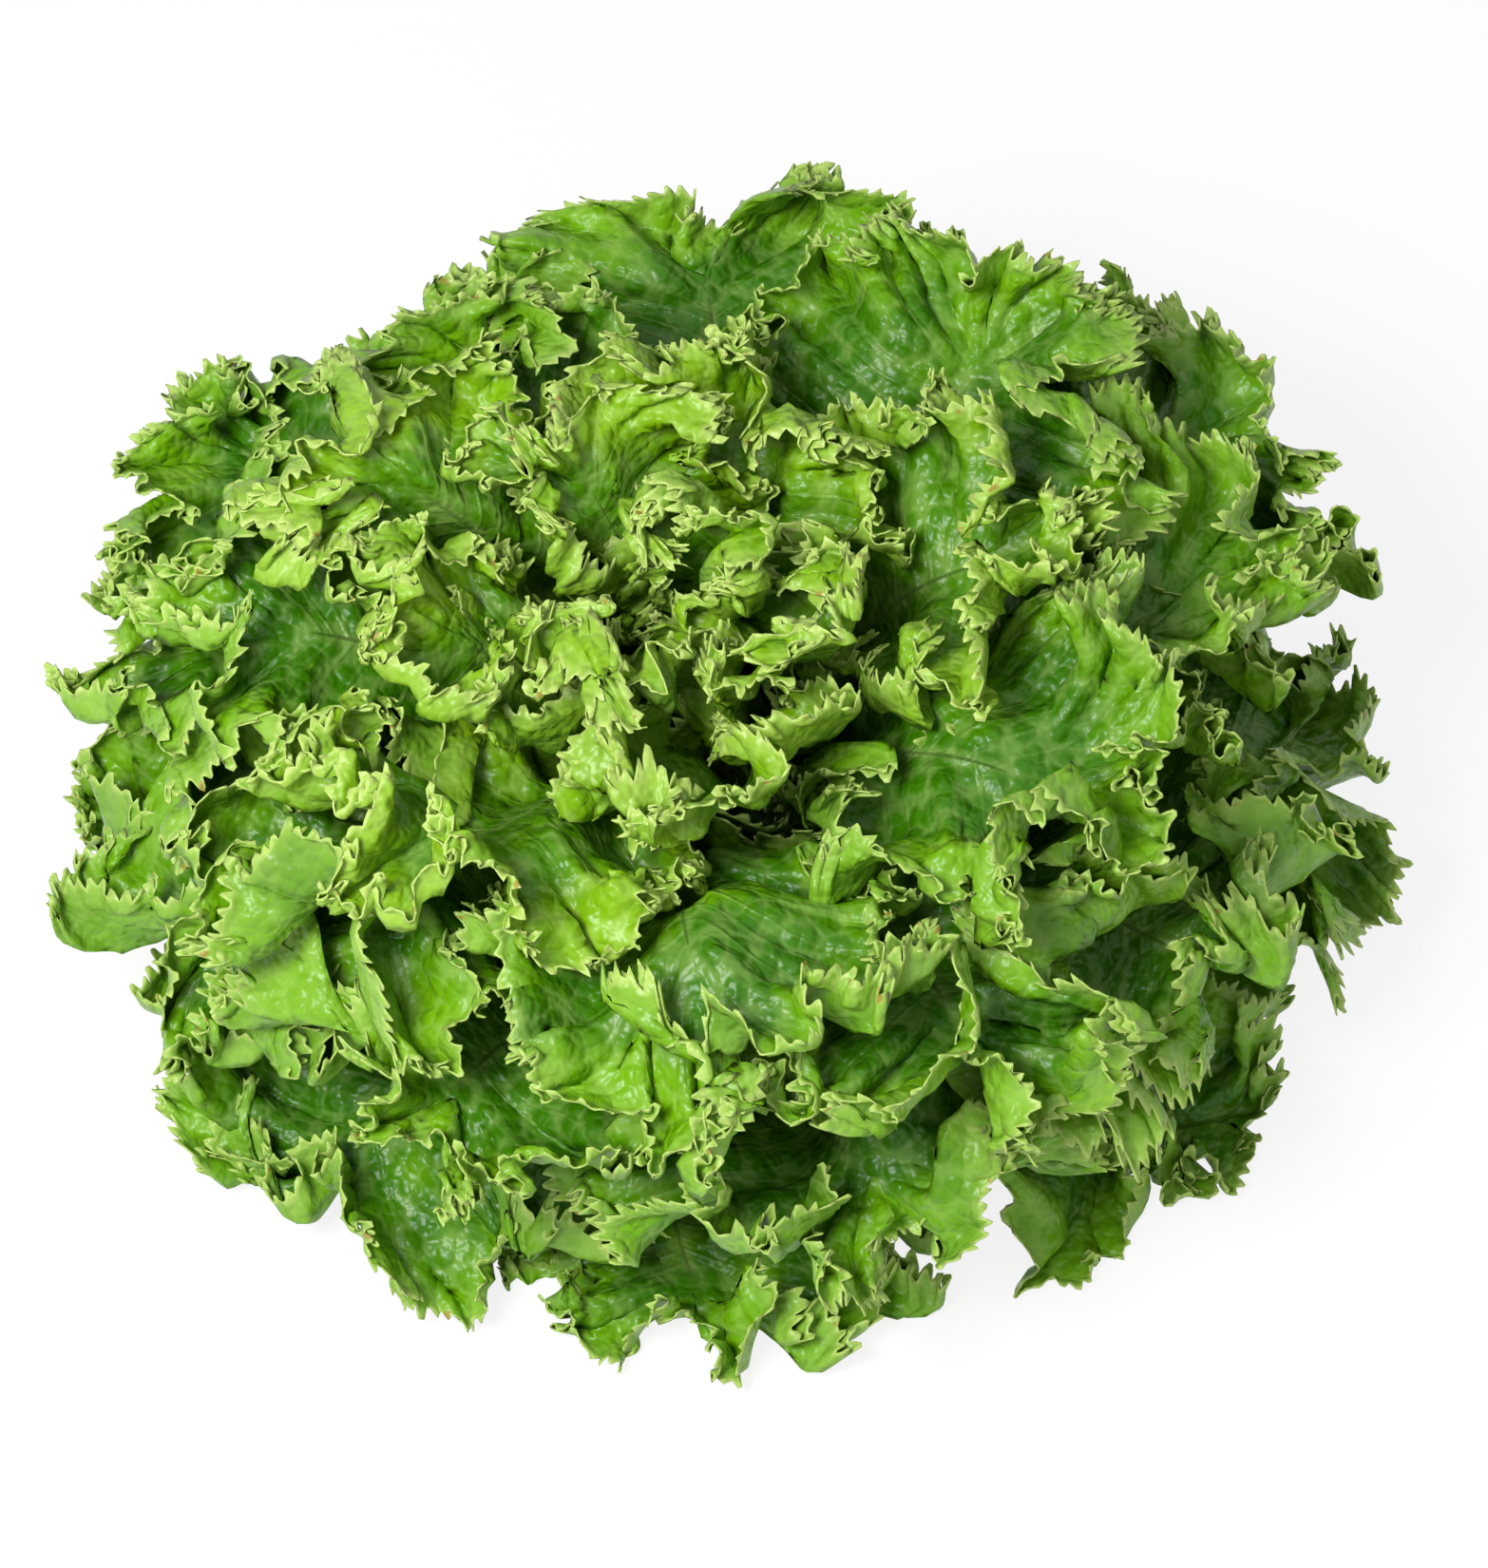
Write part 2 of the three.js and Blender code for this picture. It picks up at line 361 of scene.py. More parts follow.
class Pile:
    """How high the leaves laid so far reach, on a chart of the head.

    The chart runs round the head by azimuth and outwards by distance from the stem, and its
    heights are levels of the nest. Each new leaf comes to lie on those already there. No leaf
    reaches the level UNSEEN, and NUDGES are small steps in azimuth, distance and level.
    """

    ROUND = 240
    OUTWARDS = 72
    CELL = 3.0
    UNSEEN = 9.0
    NEAR = range(-3, 4)
    SMOOTH = (range(-2, 3), range(-1, 2))
    NUDGES = (0.002, 0.2, 0.004)

    def __init__(self) -> None:
        """Starts with nothing laid."""
        self.top = np.full(self.ROUND * self.OUTWARDS, -self.UNSEEN)

    def cells(self, azimuth: Array, run: Array) -> Array:
        """The number of the chart's cell under each point."""
        turn = np.floor(azimuth / FULL_TURN * self.ROUND).astype(int) % self.ROUND
        out = np.clip(run / self.CELL, 0, self.OUTWARDS - 1).astype(int)
        return (turn * self.OUTWARDS + out).ravel()

    def shortfall(self, azimuth: Array, run: Array, level: Array) -> Array:
        """How many levels a new leaf has to rise in each cell to clear the leaves below it.

        Args:
            azimuth: where the points of the new leaf's underside are round the head.
            run: how far out they are.
            level: how high they are.

        Returns:
            A chart of the rise, with its edges rounded off.
        """
        lowest = np.full_like(self.top, self.UNSEEN)
        np.minimum.at(lowest, self.cells(azimuth, run), level.ravel())
        need = np.where(lowest < self.UNSEEN, np.maximum(self.top - lowest, 0.0), 0.0)
        chart = need.reshape(self.ROUND, self.OUTWARDS)
        for axis in (0, 1):
            chart = np.max([np.roll(chart, shift, axis) for shift in self.NEAR], axis=0)
        for shifts in self.SMOOTH:
            for axis in (0, 1):
                chart = np.mean([np.roll(chart, shift, axis) for shift in shifts], axis=0)
        return chart

    def read(self, chart: Array, azimuth: Array, run: Array) -> Array:
        """The value of a chart at each point, evenly between its cells."""
        u = azimuth / FULL_TURN * self.ROUND - 0.5
        v = np.clip(run / self.CELL - 0.5, 0.0, self.OUTWARDS - 1.001)
        iu, iv = np.floor(u).astype(int), np.floor(v).astype(int)
        fu, fv = u - iu, v - iv
        here, next_one = iu % self.ROUND, (iu + 1) % self.ROUND
        inner = chart[here, iv] * (1.0 - fu) + chart[next_one, iv] * fu
        outer = chart[here, iv + 1] * (1.0 - fu) + chart[next_one, iv + 1] * fu
        return inner * (1.0 - fv) + outer * fv

    def lay(self, azimuth: Array, run: Array, level: Array) -> None:
        """Adds the upper side of a leaf to the chart."""
        np.maximum.at(self.top, self.cells(azimuth, run), level.ravel())


# ---- one leaf -------------------------------------------------------------------------------


@dataclass(frozen=True)
class Ruffle:
    """One size of wave along a margin."""

    wavelength: float
    slope: float
    depth: float


@dataclass(frozen=True)
class Lobe:
    """How far apart the cuts between the lobes of a margin are, and how deep they go."""

    spacing: float
    notch: float


@dataclass(frozen=True)
class WaveForm:
    """How a margin is thrown into waves on waves."""

    ruffles: tuple[Ruffle, ...] = (
        Ruffle(46.0, 1.15, 60.0),
        Ruffle(20.0, 1.45, 34.0),
        Ruffle(9.0, 1.9, 21.0),
    )
    steepest: float = 2.3
    frills: tuple[Ruffle, ...] = (
        Ruffle(4.8, 1.1, 9.0),
        Ruffle(2.4, 0.5, 4.0),
    )
    heart_size: float = 0.45
    tempo_spacing: float = 1.3
    swell_spacing: float = 1.7
    uneven: float = 0.4
    bend: float = 0.1
    bend_room: float = 6.0
    fade_power: float = 1.5
    window: float = 1.4
    tightest: float = 0.3
    raise_by: float = 2.0
    raise_depth: float = 14.0
    steepest_row: float = 0.92
    least_gap: float = 0.05


@dataclass(frozen=True)
class LobeForm:
    """How the margin is cut in between its lobes."""

    lobes: tuple[Lobe, ...] = (Lobe(34.0, 24.0), Lobe(10.0, 5.0))
    tempo_spacing: float = 1.5
    uneven: float = 0.4
    sharpness: int = 3
    reach: float = 1.6


@dataclass(frozen=True)
class CurlForm:
    """How the margin rolls up and down: angles in radians, lengths in millimetres."""

    up: float = 1.0
    swing: float = 0.7
    spacing: float = 26.0
    depth: float = 22.0
    power: float = 1.2


@dataclass(frozen=True)
class ToothForm:
    """The small uneven teeth: sizes in millimetres, and ranges of shares."""

    height: float = 3.4
    pitch: float = 3.5
    heights: tuple[float, float] = (0.55, 1.0)
    widths: tuple[float, float] = (0.8, 1.25)
    peaks: tuple[float, float] = (0.4, 0.6)
    flank: tuple[float, float] = (0.1, 0.82)
    hooks: tuple[float, float] = (-0.4, 0.6)
    foot: float = 0.25


@dataclass(frozen=True)
class BlisterForm:
    """The side veins, and the tissue that puffs up between them."""

    height: float = 1.3
    vein_pitch: float = 10.0
    fewest_veins: int = 6
    wobble: float = 0.3
    wobble_size: float = 14.0
    pillow: float = 8.0
    full_pitch: float = 9.0
    across_power: float = 0.7
    down_power: float = 0.5
    lump_sizes: tuple[float, float] = (9.0, 4.5)
    lump_share: float = 0.8
    from_margin: tuple[float, float] = (1.0, 9.0)
    from_stalk: tuple[float, float] = (0.03, 0.2)


@dataclass(frozen=True)
class RibForm:
    """The midrib, which stands below the blade."""

    depth: float = 3.6
    half_width: float = 4.2
    tip_width: float = 0.25
    heart_loss: float = 0.6
    taper_power: float = 1.3
    taper_lag: float = 0.22
    calm: tuple[float, float] = (1.0, 14.0)


@dataclass(frozen=True)
class StanceForm:
    """How a blade as a whole stands off its layer, and how it is laid on the leaves below."""

    swell: float = 9.0
    swell_size: float = 44.0
    stand: float = 10.0
    tilt: float = 9.0
    free: tuple[float, float] = (0.1, 0.7)
    drop: float = 14.0
    drop_from: tuple[float, float] = (0.1, 0.5)
    drop_power: int = 3
    clearance: float = 1.5
    highest_rise: float = 0.25
    rise_from: tuple[float, float] = (6.0, 40.0)
    levels: tuple[float, float] = (-0.3, 1.25)
    table_gap: float = 0.6
    table_bend: float = 5.0
    crown: float = 138.0
    crown_bend: float = 24.0


@dataclass(frozen=True)
class GridForm:
    """How closely the points of a leaf lie: columns along the margin, rows inwards from it."""

    samples: int = 1601
    column: float = 0.24
    block: int = 32
    stalk_share: float = 0.3
    stalk_end: tuple[float, float] = (0.1, 0.3)
    rows: tuple[float, ...] = (
        0.0, 0.8, 1.8, 3.1, 4.8, 7.0, 9.7, 13.0, 16.5, 20.0, 24.0, 28.0, 32.5, 37.0, 42.0, 47.5,
    )
    rows_to_rib: int = 3
    rib_rows: tuple[float, ...] = (5.0, 2.6, 1.1, 0.0)
    rib_room: float = 8.0
    strides: tuple[int, ...] = (1, 2, 2, 2, 4, 4, 8, 8, 8, 8, 8, 8, 8, 8)
    widest_stride: int = 16
    between_rows: tuple[float, ...] = (0.0, 0.25, 0.5, 0.75)


@dataclass(frozen=True)
class LeafForm:
    """The sizes that all the leaves share, in millimetres and radians."""

    waves: WaveForm = WaveForm()
    lobes: LobeForm = LobeForm()
    curl: CurlForm = CurlForm()
    teeth: ToothForm = ToothForm()
    blisters: BlisterForm = BlisterForm()
    rib: RibForm = RibForm()
    stance: StanceForm = StanceForm()
    grid: GridForm = GridForm()
    blade: float = 0.55
    edge: float = 0.4
    edge_width: float = 6.0
    vein_slant: float = 0.78
    twist: float = 0.03
    frilled_from: tuple[float, float] = (0.10, 0.36)
    level_nudge: float = 0.02


class Leaf:
    """One frilled leaf."""

    def __init__(self, nest: Nest, head: HeadPlan, form: LeafForm, index: int) -> None:
        """Works out the leaf's own sizes from its place in the head.

        Args:
            nest: the layers of the head.
            head: the plan of the whole head.
            form: the sizes that all the leaves share.
            index: the leaf's number, counted from the outside in.
        """
        self.nest, self.head, self.form, self.index = nest, head, form, index
        self.name = head.name(index)
        self.group = head.group(index)
        self.level = index / (head.leaves - 1)
        turn = head.first_azimuth + index * head.golden_angle
        self.azimuth = math.radians(turn + head.azimuth_scatter * scatter(index, Trait.AZIMUTH))
        self.swing = math.radians(head.swing) * scatter(index, Trait.SWING)
        uneven = head.length_scatter * min(3 * self.level, 1.0) * scatter(index, Trait.LENGTH)
        uneven += head.stray_length if index == head.stray_leaf else 0.0
        self.length = float(nest.value(np.array(self.level), "length")) * (1.0 + uneven)
        width = 1.0 - (1.0 - head.heart_width) * self.level**2
        width *= head.slenderness * (1.0 + head.width_scatter * scatter(index, Trait.WIDTH))
        self.half_width = head.blade_half_width * width
        stalk = 1.0 - (1.0 - head.heart_stalk) * self.level
        self.stalk_half_width = head.stalk_half_width * stalk
        self.fan_power = head.fan_power + (head.heart_fan_power - head.fan_power) * self.level
        self.loose = 1.0 - (1.0 - head.heart_share) * self.level**head.loose_power
        self.rng = np.random.default_rng(head.first_seed + index)

    def half_width_at(self, out: Array) -> Array:
        """Half the width of the blade at each share of its length."""
        power = self.fan_power
        widest = power / (power + 0.5)
        most = widest**power * math.sqrt(1.0 - widest)
        end = np.sqrt(np.maximum(1.0 - out, 0.0))
        return self.half_width * out**power * end / most + self.stalk_half_width * end

    def flat_point(self, turn: Array, reach: Array, side: Array) -> tuple[Array, Array]:
        """Places points on the flat blade.

        Args:
            turn: 0 at the stalk to 1 at the tip.
            reach: 0 on the midrib to 1 on the margin.
            side: -1 or 1.

        Returns:
            The distance along the leaf and the distance across it.
        """
        out = 1.0 - (1.0 - turn) ** 2
        slant = self.form.vein_slant
        run = self.length * out * (slant + (1.0 - slant) * reach)
        return run, side * reach * self.half_width_at(out)

    def place(self, turn: Array, reach: Array, side: Array) -> tuple[Array, Array, Array]:
        """The azimuth, the distance from the stem and the level of points of the smooth leaf."""
        run, across = self.flat_point(turn, reach, side)
        level = np.full_like(run, self.level)
        radius, _ = self.nest.profile(level, np.maximum(run, 1.0))
        turned = across / radius
        azimuth = self.azimuth + self.swing * (run / self.length) ** 2 + turned
        return azimuth, run, level + self.form.twist * self.nest.midway(self.level) * turned

    def heaved(self, run: Array, across: Array) -> Array:
        """How far the blade as a whole stands off its layer: leaning, tilting and swelling."""
        stance = self.form.stance
        out = run / self.length
        swell = stance.swell * Lattice(self.rng, stance.swell_size)(run, across)
        stand = stance.stand * scatter(self.index, Trait.STAND) * out
        tilt = stance.tilt * scatter(self.index, Trait.TILT) * across / self.half_width
        heave = (swell + stand + tilt) * smooth_step(out, *stance.free)
        fall = 1.0 - np.minimum(out, 1.0) ** stance.drop_power
        hollow = stance.drop * smooth_step(out, *stance.drop_from) * fall
        return (heave - hollow) * self.loose

    def columns(self) -> tuple[Array, Array, Array]:
        """Spaces the columns along the margin, closer together where it is frilled.

        Returns:
            The turn, the side and the distance along the margin of each column.
        """
        grid = self.form.grid
        q = np.linspace(-1.0, 1.0, grid.samples)
        margin = self.nest.point(*self.place(1.0 - np.abs(q), np.ones_like(q), np.sign(-q)))
        step = np.linalg.norm(np.diff(margin, axis=0), axis=1)
        out = 1.0 - q**2
        weight = grid.stalk_share + (1.0 - grid.stalk_share) * smooth_step(out, *grid.stalk_end)
        pull = (step + step[::-1]) / 2 * (weight[1:] + weight[:-1]) / 2
        effort = np.concatenate([[0.0], np.cumsum(pull)])
        length = np.concatenate([[0.0], np.cumsum(step)])
        count = grid.block * max(2, round(effort[-1] / grid.column / grid.block))
        at = np.linspace(0.0, effort[-1], count + 1)
        place = np.interp(at, effort, q)
        place[count // 2] = 0.0
        return 1.0 - np.abs(place), np.sign(-place), np.interp(place, q, length)

    def row_distances(self, vein: Array) -> Array:
        """The distance of each row from the margin, for veins of these lengths."""
        grid = self.form.grid
        near, inner = np.array(grid.rows), np.array(grid.rib_rows)
        middle = np.arange(1, grid.rows_to_rib + 1) / (grid.rows_to_rib + 1)
        whole = near[-1] + inner[0] + grid.rib_room
        squeeze = np.minimum(1.0, vein / whole)[None, :]
        first = near[:, None] * squeeze
        last = vein[None, :] - inner[:, None] * squeeze
        between = first[-1] + middle[:, None] * (last[0] - first[-1])
        return np.concatenate([first, between, last], axis=0)

    def ruffled(
        self, distance: Array, along: Array, mask: Array, step: Array
    ) -> tuple[Array, Array]:
        """Lays each row out as a winding line on waves of several sizes.

        Args:
            distance: how far each point is from the margin.
            along: how far along the margin each column is.
            mask: how strongly each column is frilled.
            step: the distance from each point to the next in its row.

        Returns:
            How far each point moves along its row, and how far it moves off the blade.
        """
        waves = self.form.waves
        reach = float(along[-1])
        pace = np.diff(along, prepend=0.0)
        small = waves.heart_size + (1.0 - waves.heart_size) * self.loose
        u = np.broadcast_to(along, distance.shape)

        def wave(ruffle: Ruffle) -> Array:
            """The slope that one size of wave gives each point."""
            wavelength, depth = ruffle.wavelength * small, ruffle.depth * small
            tempo = Wander(self.rng, reach, wavelength * waves.tempo_spacing)
            swell = Wander(self.rng, reach, wavelength * waves.swell_spacing)
            run = np.cumsum(pace * (1.0 + waves.uneven * tempo(along)))
            phase = run / wavelength + self.rng.uniform()
            bend = waves.bend * Lattice(self.rng, wavelength + waves.bend_room)(u, distance)
            turn = np.sin(FULL_TURN * (phase + bend))
            fade = np.exp(-((distance / depth) ** waves.fade_power))
            return ruffle.slope * (1.0 + waves.uneven * swell(along)) * turn * fade

        slope = sum(wave(ruffle) for ruffle in waves.ruffles)
        slope = waves.steepest * np.tanh(slope / waves.steepest)
        slope = slope + sum(wave(frill) for frill in waves.frills)
        slope = slope * mask
        mean_pace = float(np.median(pace[1:]))
        window = int(waves.window * waves.ruffles[0].wavelength / mean_pace)
        pack = np.maximum(running_mean(np.cos(slope), window), waves.tightest)
        shift = np.cumsum(step * (np.cos(slope) / pack - 1.0), axis=1)
        lift = np.cumsum(step * np.sin(slope) / pack, axis=1)
        shift = (shift - running_mean(shift, window)) * mask
        return shift, (lift - running_mean(lift, window)) * mask

    def curled(self, distance: Array, along: Array, mask: Array) -> tuple[Array, Array, Array]:
        """Rolls the margin up and down by a slowly changing angle.

        Args:
            distance: how far each point is from the margin.
            along: how far along the margin each column is.
            mask: how strongly each column is frilled.

        Returns:
            The angle, the movement outwards and the movement off the blade of each point.
        """
        curl = self.form.curl
        roll = Wander(self.rng, float(along[-1]), curl.spacing)(along) * curl.swing + curl.up
        angle = roll * mask * np.maximum(1.0 - distance / curl.depth, 0.0) ** curl.power
        gap = np.diff(distance, axis=0, append=distance[-1:])
        middle = (angle + np.roll(angle, -1, axis=0)) / 2.0
        out = np.cumsum(((np.cos(middle) - 1.0) * gap)[::-1], axis=0)[::-1]
        lift = np.cumsum((np.sin(middle) * gap)[::-1], axis=0)[::-1]
        return angle, out, lift

    def drawn_in(self, distance: Array, lift: Array) -> Array:
        """How far the rows come inwards where the blade between them slopes up or down."""
        waves = self.form.waves
        gap = np.maximum(np.diff(distance, axis=0), waves.least_gap)
        slant = np.clip(np.diff(lift, axis=0) / gap, -waves.steepest_row, waves.steepest_row)
        loss = gap * (np.sqrt(1.0 - slant**2) - 1.0)
        loss = np.concatenate([loss, np.zeros_like(loss[:1])], axis=0)
        return np.cumsum(loss[::-1], axis=0)[::-1]

    def notched(self, distance: Array, along: Array) -> Array:
        """How far the blade is cut in between the lobes of its margin."""
        form = self.form.lobes
        reach = float(along[-1])
        pace = np.diff(along, prepend=0.0)
        cuts = np.zeros_like(distance)
        for lobe in form.lobes:
            tempo = Wander(self.rng, reach, lobe.spacing * form.tempo_spacing)
            swell = Wander(self.rng, reach, lobe.spacing)
            depth = lobe.notch * self.loose * (1.0 - form.uneven + form.uneven * swell(along))
            turn = FULL_TURN * np.cumsum(pace * (1.0 + form.uneven * tempo(along))) / lobe.spacing
            cut = (0.5 + 0.5 * np.cos(turn)) ** form.sharpness
            cuts = cuts + depth * cut * np.exp(-distance / (form.reach * lobe.notch))
        return cuts

    def nearer(
        self, place: tuple[Array, ...], moved: Array
    ) -> tuple[tuple[Array, ...], list[Array]]:
        """Takes one step towards finding where points lie in the nest.

        Args:
            place: a guess at the azimuth, the distance from the stem and the level of each point.
            moved: the points.

        Returns:
            A better guess, and how a point moves with each of the three at the first one.
        """
        points = self.nest.point(*place)
        ways = []
        for axis, nudge in enumerate(Pile.NUDGES):
            beside = [values + nudge * (axis == number) for number, values in enumerate(place)]
            ways.append((self.nest.point(*beside) - points) / nudge)
        change = np.linalg.solve(np.stack(ways, axis=-1), (moved - points)[..., None])[..., 0]
        azimuth, run, level = (values + change[..., n] for n, values in enumerate(place))
        return (azimuth, np.maximum(run, 1.0), np.clip(level, *self.form.stance.levels)), ways

    def settled(self, pile: Pile, place: tuple[Array, ...], moved: Array, depth: Array) -> Array:
        """Lays the frilled leaf on the leaves below it.

        Args:
            pile: the leaves laid so far, which this one is added to.
            place: the azimuth, distance from the stem and level of each smooth point.
            moved: where frilling has moved each point.
            depth: how far the leaf's underside lies below each point.

        Returns:
            The points, raised where they would cut into the leaves below.
        """
        stance = self.form.stance
        found, ways = self.nearer(place, moved)
        if self.group is not LeafGroup.HEART:
            found, _ = self.nearer(found, moved)
        azimuth, run, level = found
        spacing = np.linalg.norm(ways[2], axis=-1)
        under = level - (stance.clearance * self.loose + depth) / spacing

        def dense(values: Array) -> Array:
            """Values at the rows and at some places between each two of them."""
            shares = self.form.grid.between_rows
            return np.stack([values[:-1] * (1.0 - s) + values[1:] * s for s in shares])

        chart = pile.shortfall(dense(azimuth), dense(run), dense(under))
        rise = np.minimum(pile.read(chart, azimuth, run), stance.highest_rise * self.loose)
        rise = rise * smooth_step(run, *stance.rise_from)
        pile.lay(dense(azimuth), dense(run), dense(level + rise))
        log.info("%s rises by %.1f mm", self.name, float(np.mean(rise * spacing)))
        return moved + ways[2] * rise[..., None]

    def teeth(self, margin: Array, mask: Array) -> tuple[Array, Array]:
        """Cuts the margin into teeth of uneven width and length.

        Args:
            margin: the points of the margin.
            mask: how strongly each column is frilled.

        Returns:
            How far each column stands out, and how far it bends off the blade.
        """
        form = self.form.teeth
        steps = np.linalg.norm(np.diff(margin, axis=0), axis=1)
        arc = np.concatenate([[0.0], np.cumsum(steps)])
        count = int(arc[-1] / (form.pitch * form.widths[0])) + 2
        ends = np.cumsum(form.pitch * self.rng.uniform(*form.widths, count))
        starts = np.concatenate([[0.0], ends[:-1]])
        number = np.searchsorted(ends, arc, side="right")
        share = (arc - starts[number]) / (ends - starts)[number]
        peak = self.rng.uniform(*form.peaks, count)[number]
        flank = np.where(share < peak, share / peak, (1.0 - share) / (1.0 - peak))
        height = form.height * self.rng.uniform(*form.heights, count)[number]
        stand = height * smooth_step(flank, *form.flank) * mask
        return stand, stand * self.rng.uniform(*form.hooks, count)[number]

    def grid(self, pile: Pile) -> dict[str, Array]:
        """Shapes the leaf's middle surface as a grid of rows from margin to midrib.

        Args:
            pile: the leaves laid so far.

        Returns:
            The points, the normals and what the finish needs to know of each point.
        """
        form, waves, blisters = self.form, self.form.waves, self.form.blisters
        turn, side, along = self.columns()
        count = len(turn) - 1
        out = 1.0 - (1.0 - turn) ** 2
        vein = np.hypot((1.0 - form.vein_slant) * out * self.length, self.half_width_at(out))
        distance = self.row_distances(vein)
        reach = 1.0 - distance / vein
        turn_grid = np.broadcast_to(turn, reach.shape)
        side_grid = np.broadcast_to(side, reach.shape)
        place = self.place(turn_grid, reach, side_grid)
        smooth = self.nest.point(*place)
        above = self.nest.point(place[0], place[1], place[2] + form.level_nudge)
        heave = self.heaved(*self.flat_point(turn_grid, reach, side_grid))
        points = smooth + unit(above - smooth) * heave[..., None]
        tangent = unit(np.gradient(points, axis=1))
        outward = -np.gradient(points, axis=0)
        outward = unit(outward - tangent * np.sum(outward * tangent, axis=-1, keepdims=True))
        normal = np.cross(tangent, outward)
        normal = normal * np.sign(np.sum(normal * (above - smooth)))

        mask = smooth_step(out, *form.frilled_from)
        rib_share = smooth_step(vein - distance, *form.rib.calm)
        step = np.linalg.norm(np.diff(points, axis=1, prepend=points[:, :1]), axis=-1)
        shift, lift = self.ruffled(distance, along, mask, step)
        near_margin = np.exp(-((distance / waves.raise_depth) ** waves.fade_power))
        lift = lift + waves.raise_by * self.loose * mask * near_margin
        angle, out_move, roll = self.curled(distance, along, mask)
        out_move = out_move + self.drawn_in(distance, lift) - self.notched(distance, along) * mask
        shift, lift, out_move, roll = (m * rib_share for m in (shift, lift, out_move, roll))
        points = (
            points
            + tangent * shift[..., None]
            + outward * (out_move - lift * np.sin(angle))[..., None]
            + normal * (roll + lift * np.cos(angle))[..., None]
        )

        normal = self.grid_normals(points, normal)
        veins = max(blisters.fewest_veins, round(float(along[-1]) / blisters.vein_pitch))
        u = np.broadcast_to(along, distance.shape)
        wobble = blisters.wobble * Lattice(self.rng, blisters.wobble_size)(u, distance)
        vein_turn = np.linspace(0.0, veins, count + 1)[None, :] + wobble
        pitch = step * count / veins
        blister = self.blistered(u, distance, vein_turn, pitch) * rib_share
        blister = blister * smooth_step(distance, *blisters.from_margin)
        blister = blister * smooth_step(out, *blisters.from_stalk)
        points = points + normal * blister[..., None]

        ridge = self.ridge(out, reach, vein - distance)
        tooth, hook = self.teeth(points[0], mask)
        edge = unit(points[0] - points[1])
        points[0] += edge * tooth[:, None] + normal[0] * hook[:, None]
        points[1] += edge * form.teeth.foot * tooth[:, None]
        points = self.settled(pile, place, points, ridge)
        points[..., 2] = self.kept_in(points[..., 2])
        return {
            "points": points,
            "normal": self.grid_normals(points, normal),
            "distance": distance,
            "margin": distance + tooth * np.minimum(distance / form.grid.rows[2], 1.0),
            "rib": vein - distance,
            "ridge": ridge,
            "vein": vein_turn,
            "pitch": pitch,
        }

    def blistered(self, u: Array, distance: Array, vein_turn: Array, pitch: Array) -> Array:
        """Puffs the tissue up between the veins: pillows in rows, and smaller lumps.

        Args:
            u: how far along the margin each point is.
            distance: how far it is from the margin.
            vein_turn: how many veins lie between it and the first one.
            pitch: how far apart the veins are there.

        Returns:
            How far each point rises off the blade.
        """
        form = self.form.blisters
        bed = np.floor(vein_turn)
        across = np.abs(np.sin(math.pi * vein_turn)) ** form.across_power
        start = 0.5 + 0.5 * np.sin(bed * NUMBER_STEP)
        down = np.abs(np.sin(math.pi * (distance / form.pillow + start))) ** form.down_power
        large, small = (Lattice(self.rng, size)(u, distance) for size in form.lump_sizes)
        pillow = across * down * np.minimum(pitch / form.full_pitch, 1.0)
        return form.height * (pillow + form.lump_share * (np.abs(large) + 0.5 * small))

    def ridge(self, out: Array, reach: Array, from_rib: Array) -> Array:
        """Shapes the midrib.

        Args:
            out: the share of the leaf's length at which each column starts.
            reach: 0 on the midrib to 1 on the margin.
            from_rib: the distance of each point from the midrib.

        Returns:
            How far the midrib stands below the blade at each point.
        """
        rib = self.form.rib
        taper = np.clip(1.0 - out * (1.0 - rib.taper_lag * (1.0 - reach)), 0.0, 1.0)
        width = rib.half_width * (rib.tip_width + (1.0 - rib.tip_width) * taper)
        depth = rib.depth * (1.0 - rib.heart_loss * self.level) * taper**rib.taper_power
        return depth * np.exp(-((from_rib / width) ** 2))

    def kept_in(self, z: Array) -> Array:
        """Bends what would go below the table up onto it, and the highest curls down a little."""
        form = self.form.stance
        low = form.table_gap + form.table_bend
        below = np.minimum(z, low) - low
        on_table = form.table_gap + form.table_bend * np.exp(below / form.table_bend)
        above = np.maximum(z - form.crown, 0.0)
        under_crown = form.crown + form.crown_bend * (1.0 - np.exp(-above / form.crown_bend))
        return np.where(z < low, on_table, np.where(above > 0.0, under_crown, z))

    def grid_normals(self, points: Array, like: Array) -> Array:
        """Normals of a grid of points, on the same side as an earlier set."""
        along = np.gradient(points, axis=1)
        down = np.gradient(points, axis=0)
        normal = unit(np.cross(along, down))
        middle = self.form.grid.rows_to_rib + len(self.form.grid.rows) // 2
        turned = np.sign(np.sum(normal[middle] * like[middle]))
        return normal * (turned if turned else 1.0)

    def strides(self, rows: int) -> list[int]:
        """How many columns each row skips: more towards the midrib."""
        given = list(self.form.grid.strides)
        return given + [self.form.grid.widest_stride] * (rows - len(given))

    def build(self, pile: Pile) -> bpy.types.Object:
        """Makes the leaf as one closed shell.

        Args:
            pile: the leaves laid so far, which this one is laid on.

        Returns:
            The leaf as an object with its attributes, still without a finish.
        """
        form = self.form
        grid = self.grid(pile)
        points, normal = grid["points"], grid["normal"]
        rows, count = points.shape[0], points.shape[1] - 1
        strides = self.strides(rows)
        share = smooth_step(grid["distance"], 0.0, form.edge_width)
        thickness = form.edge + (form.blade - form.edge) * share
        upper = points + normal * (thickness / 2.0)[..., None]
        lower = points - normal * (thickness / 2.0 + grid["ridge"])[..., None]

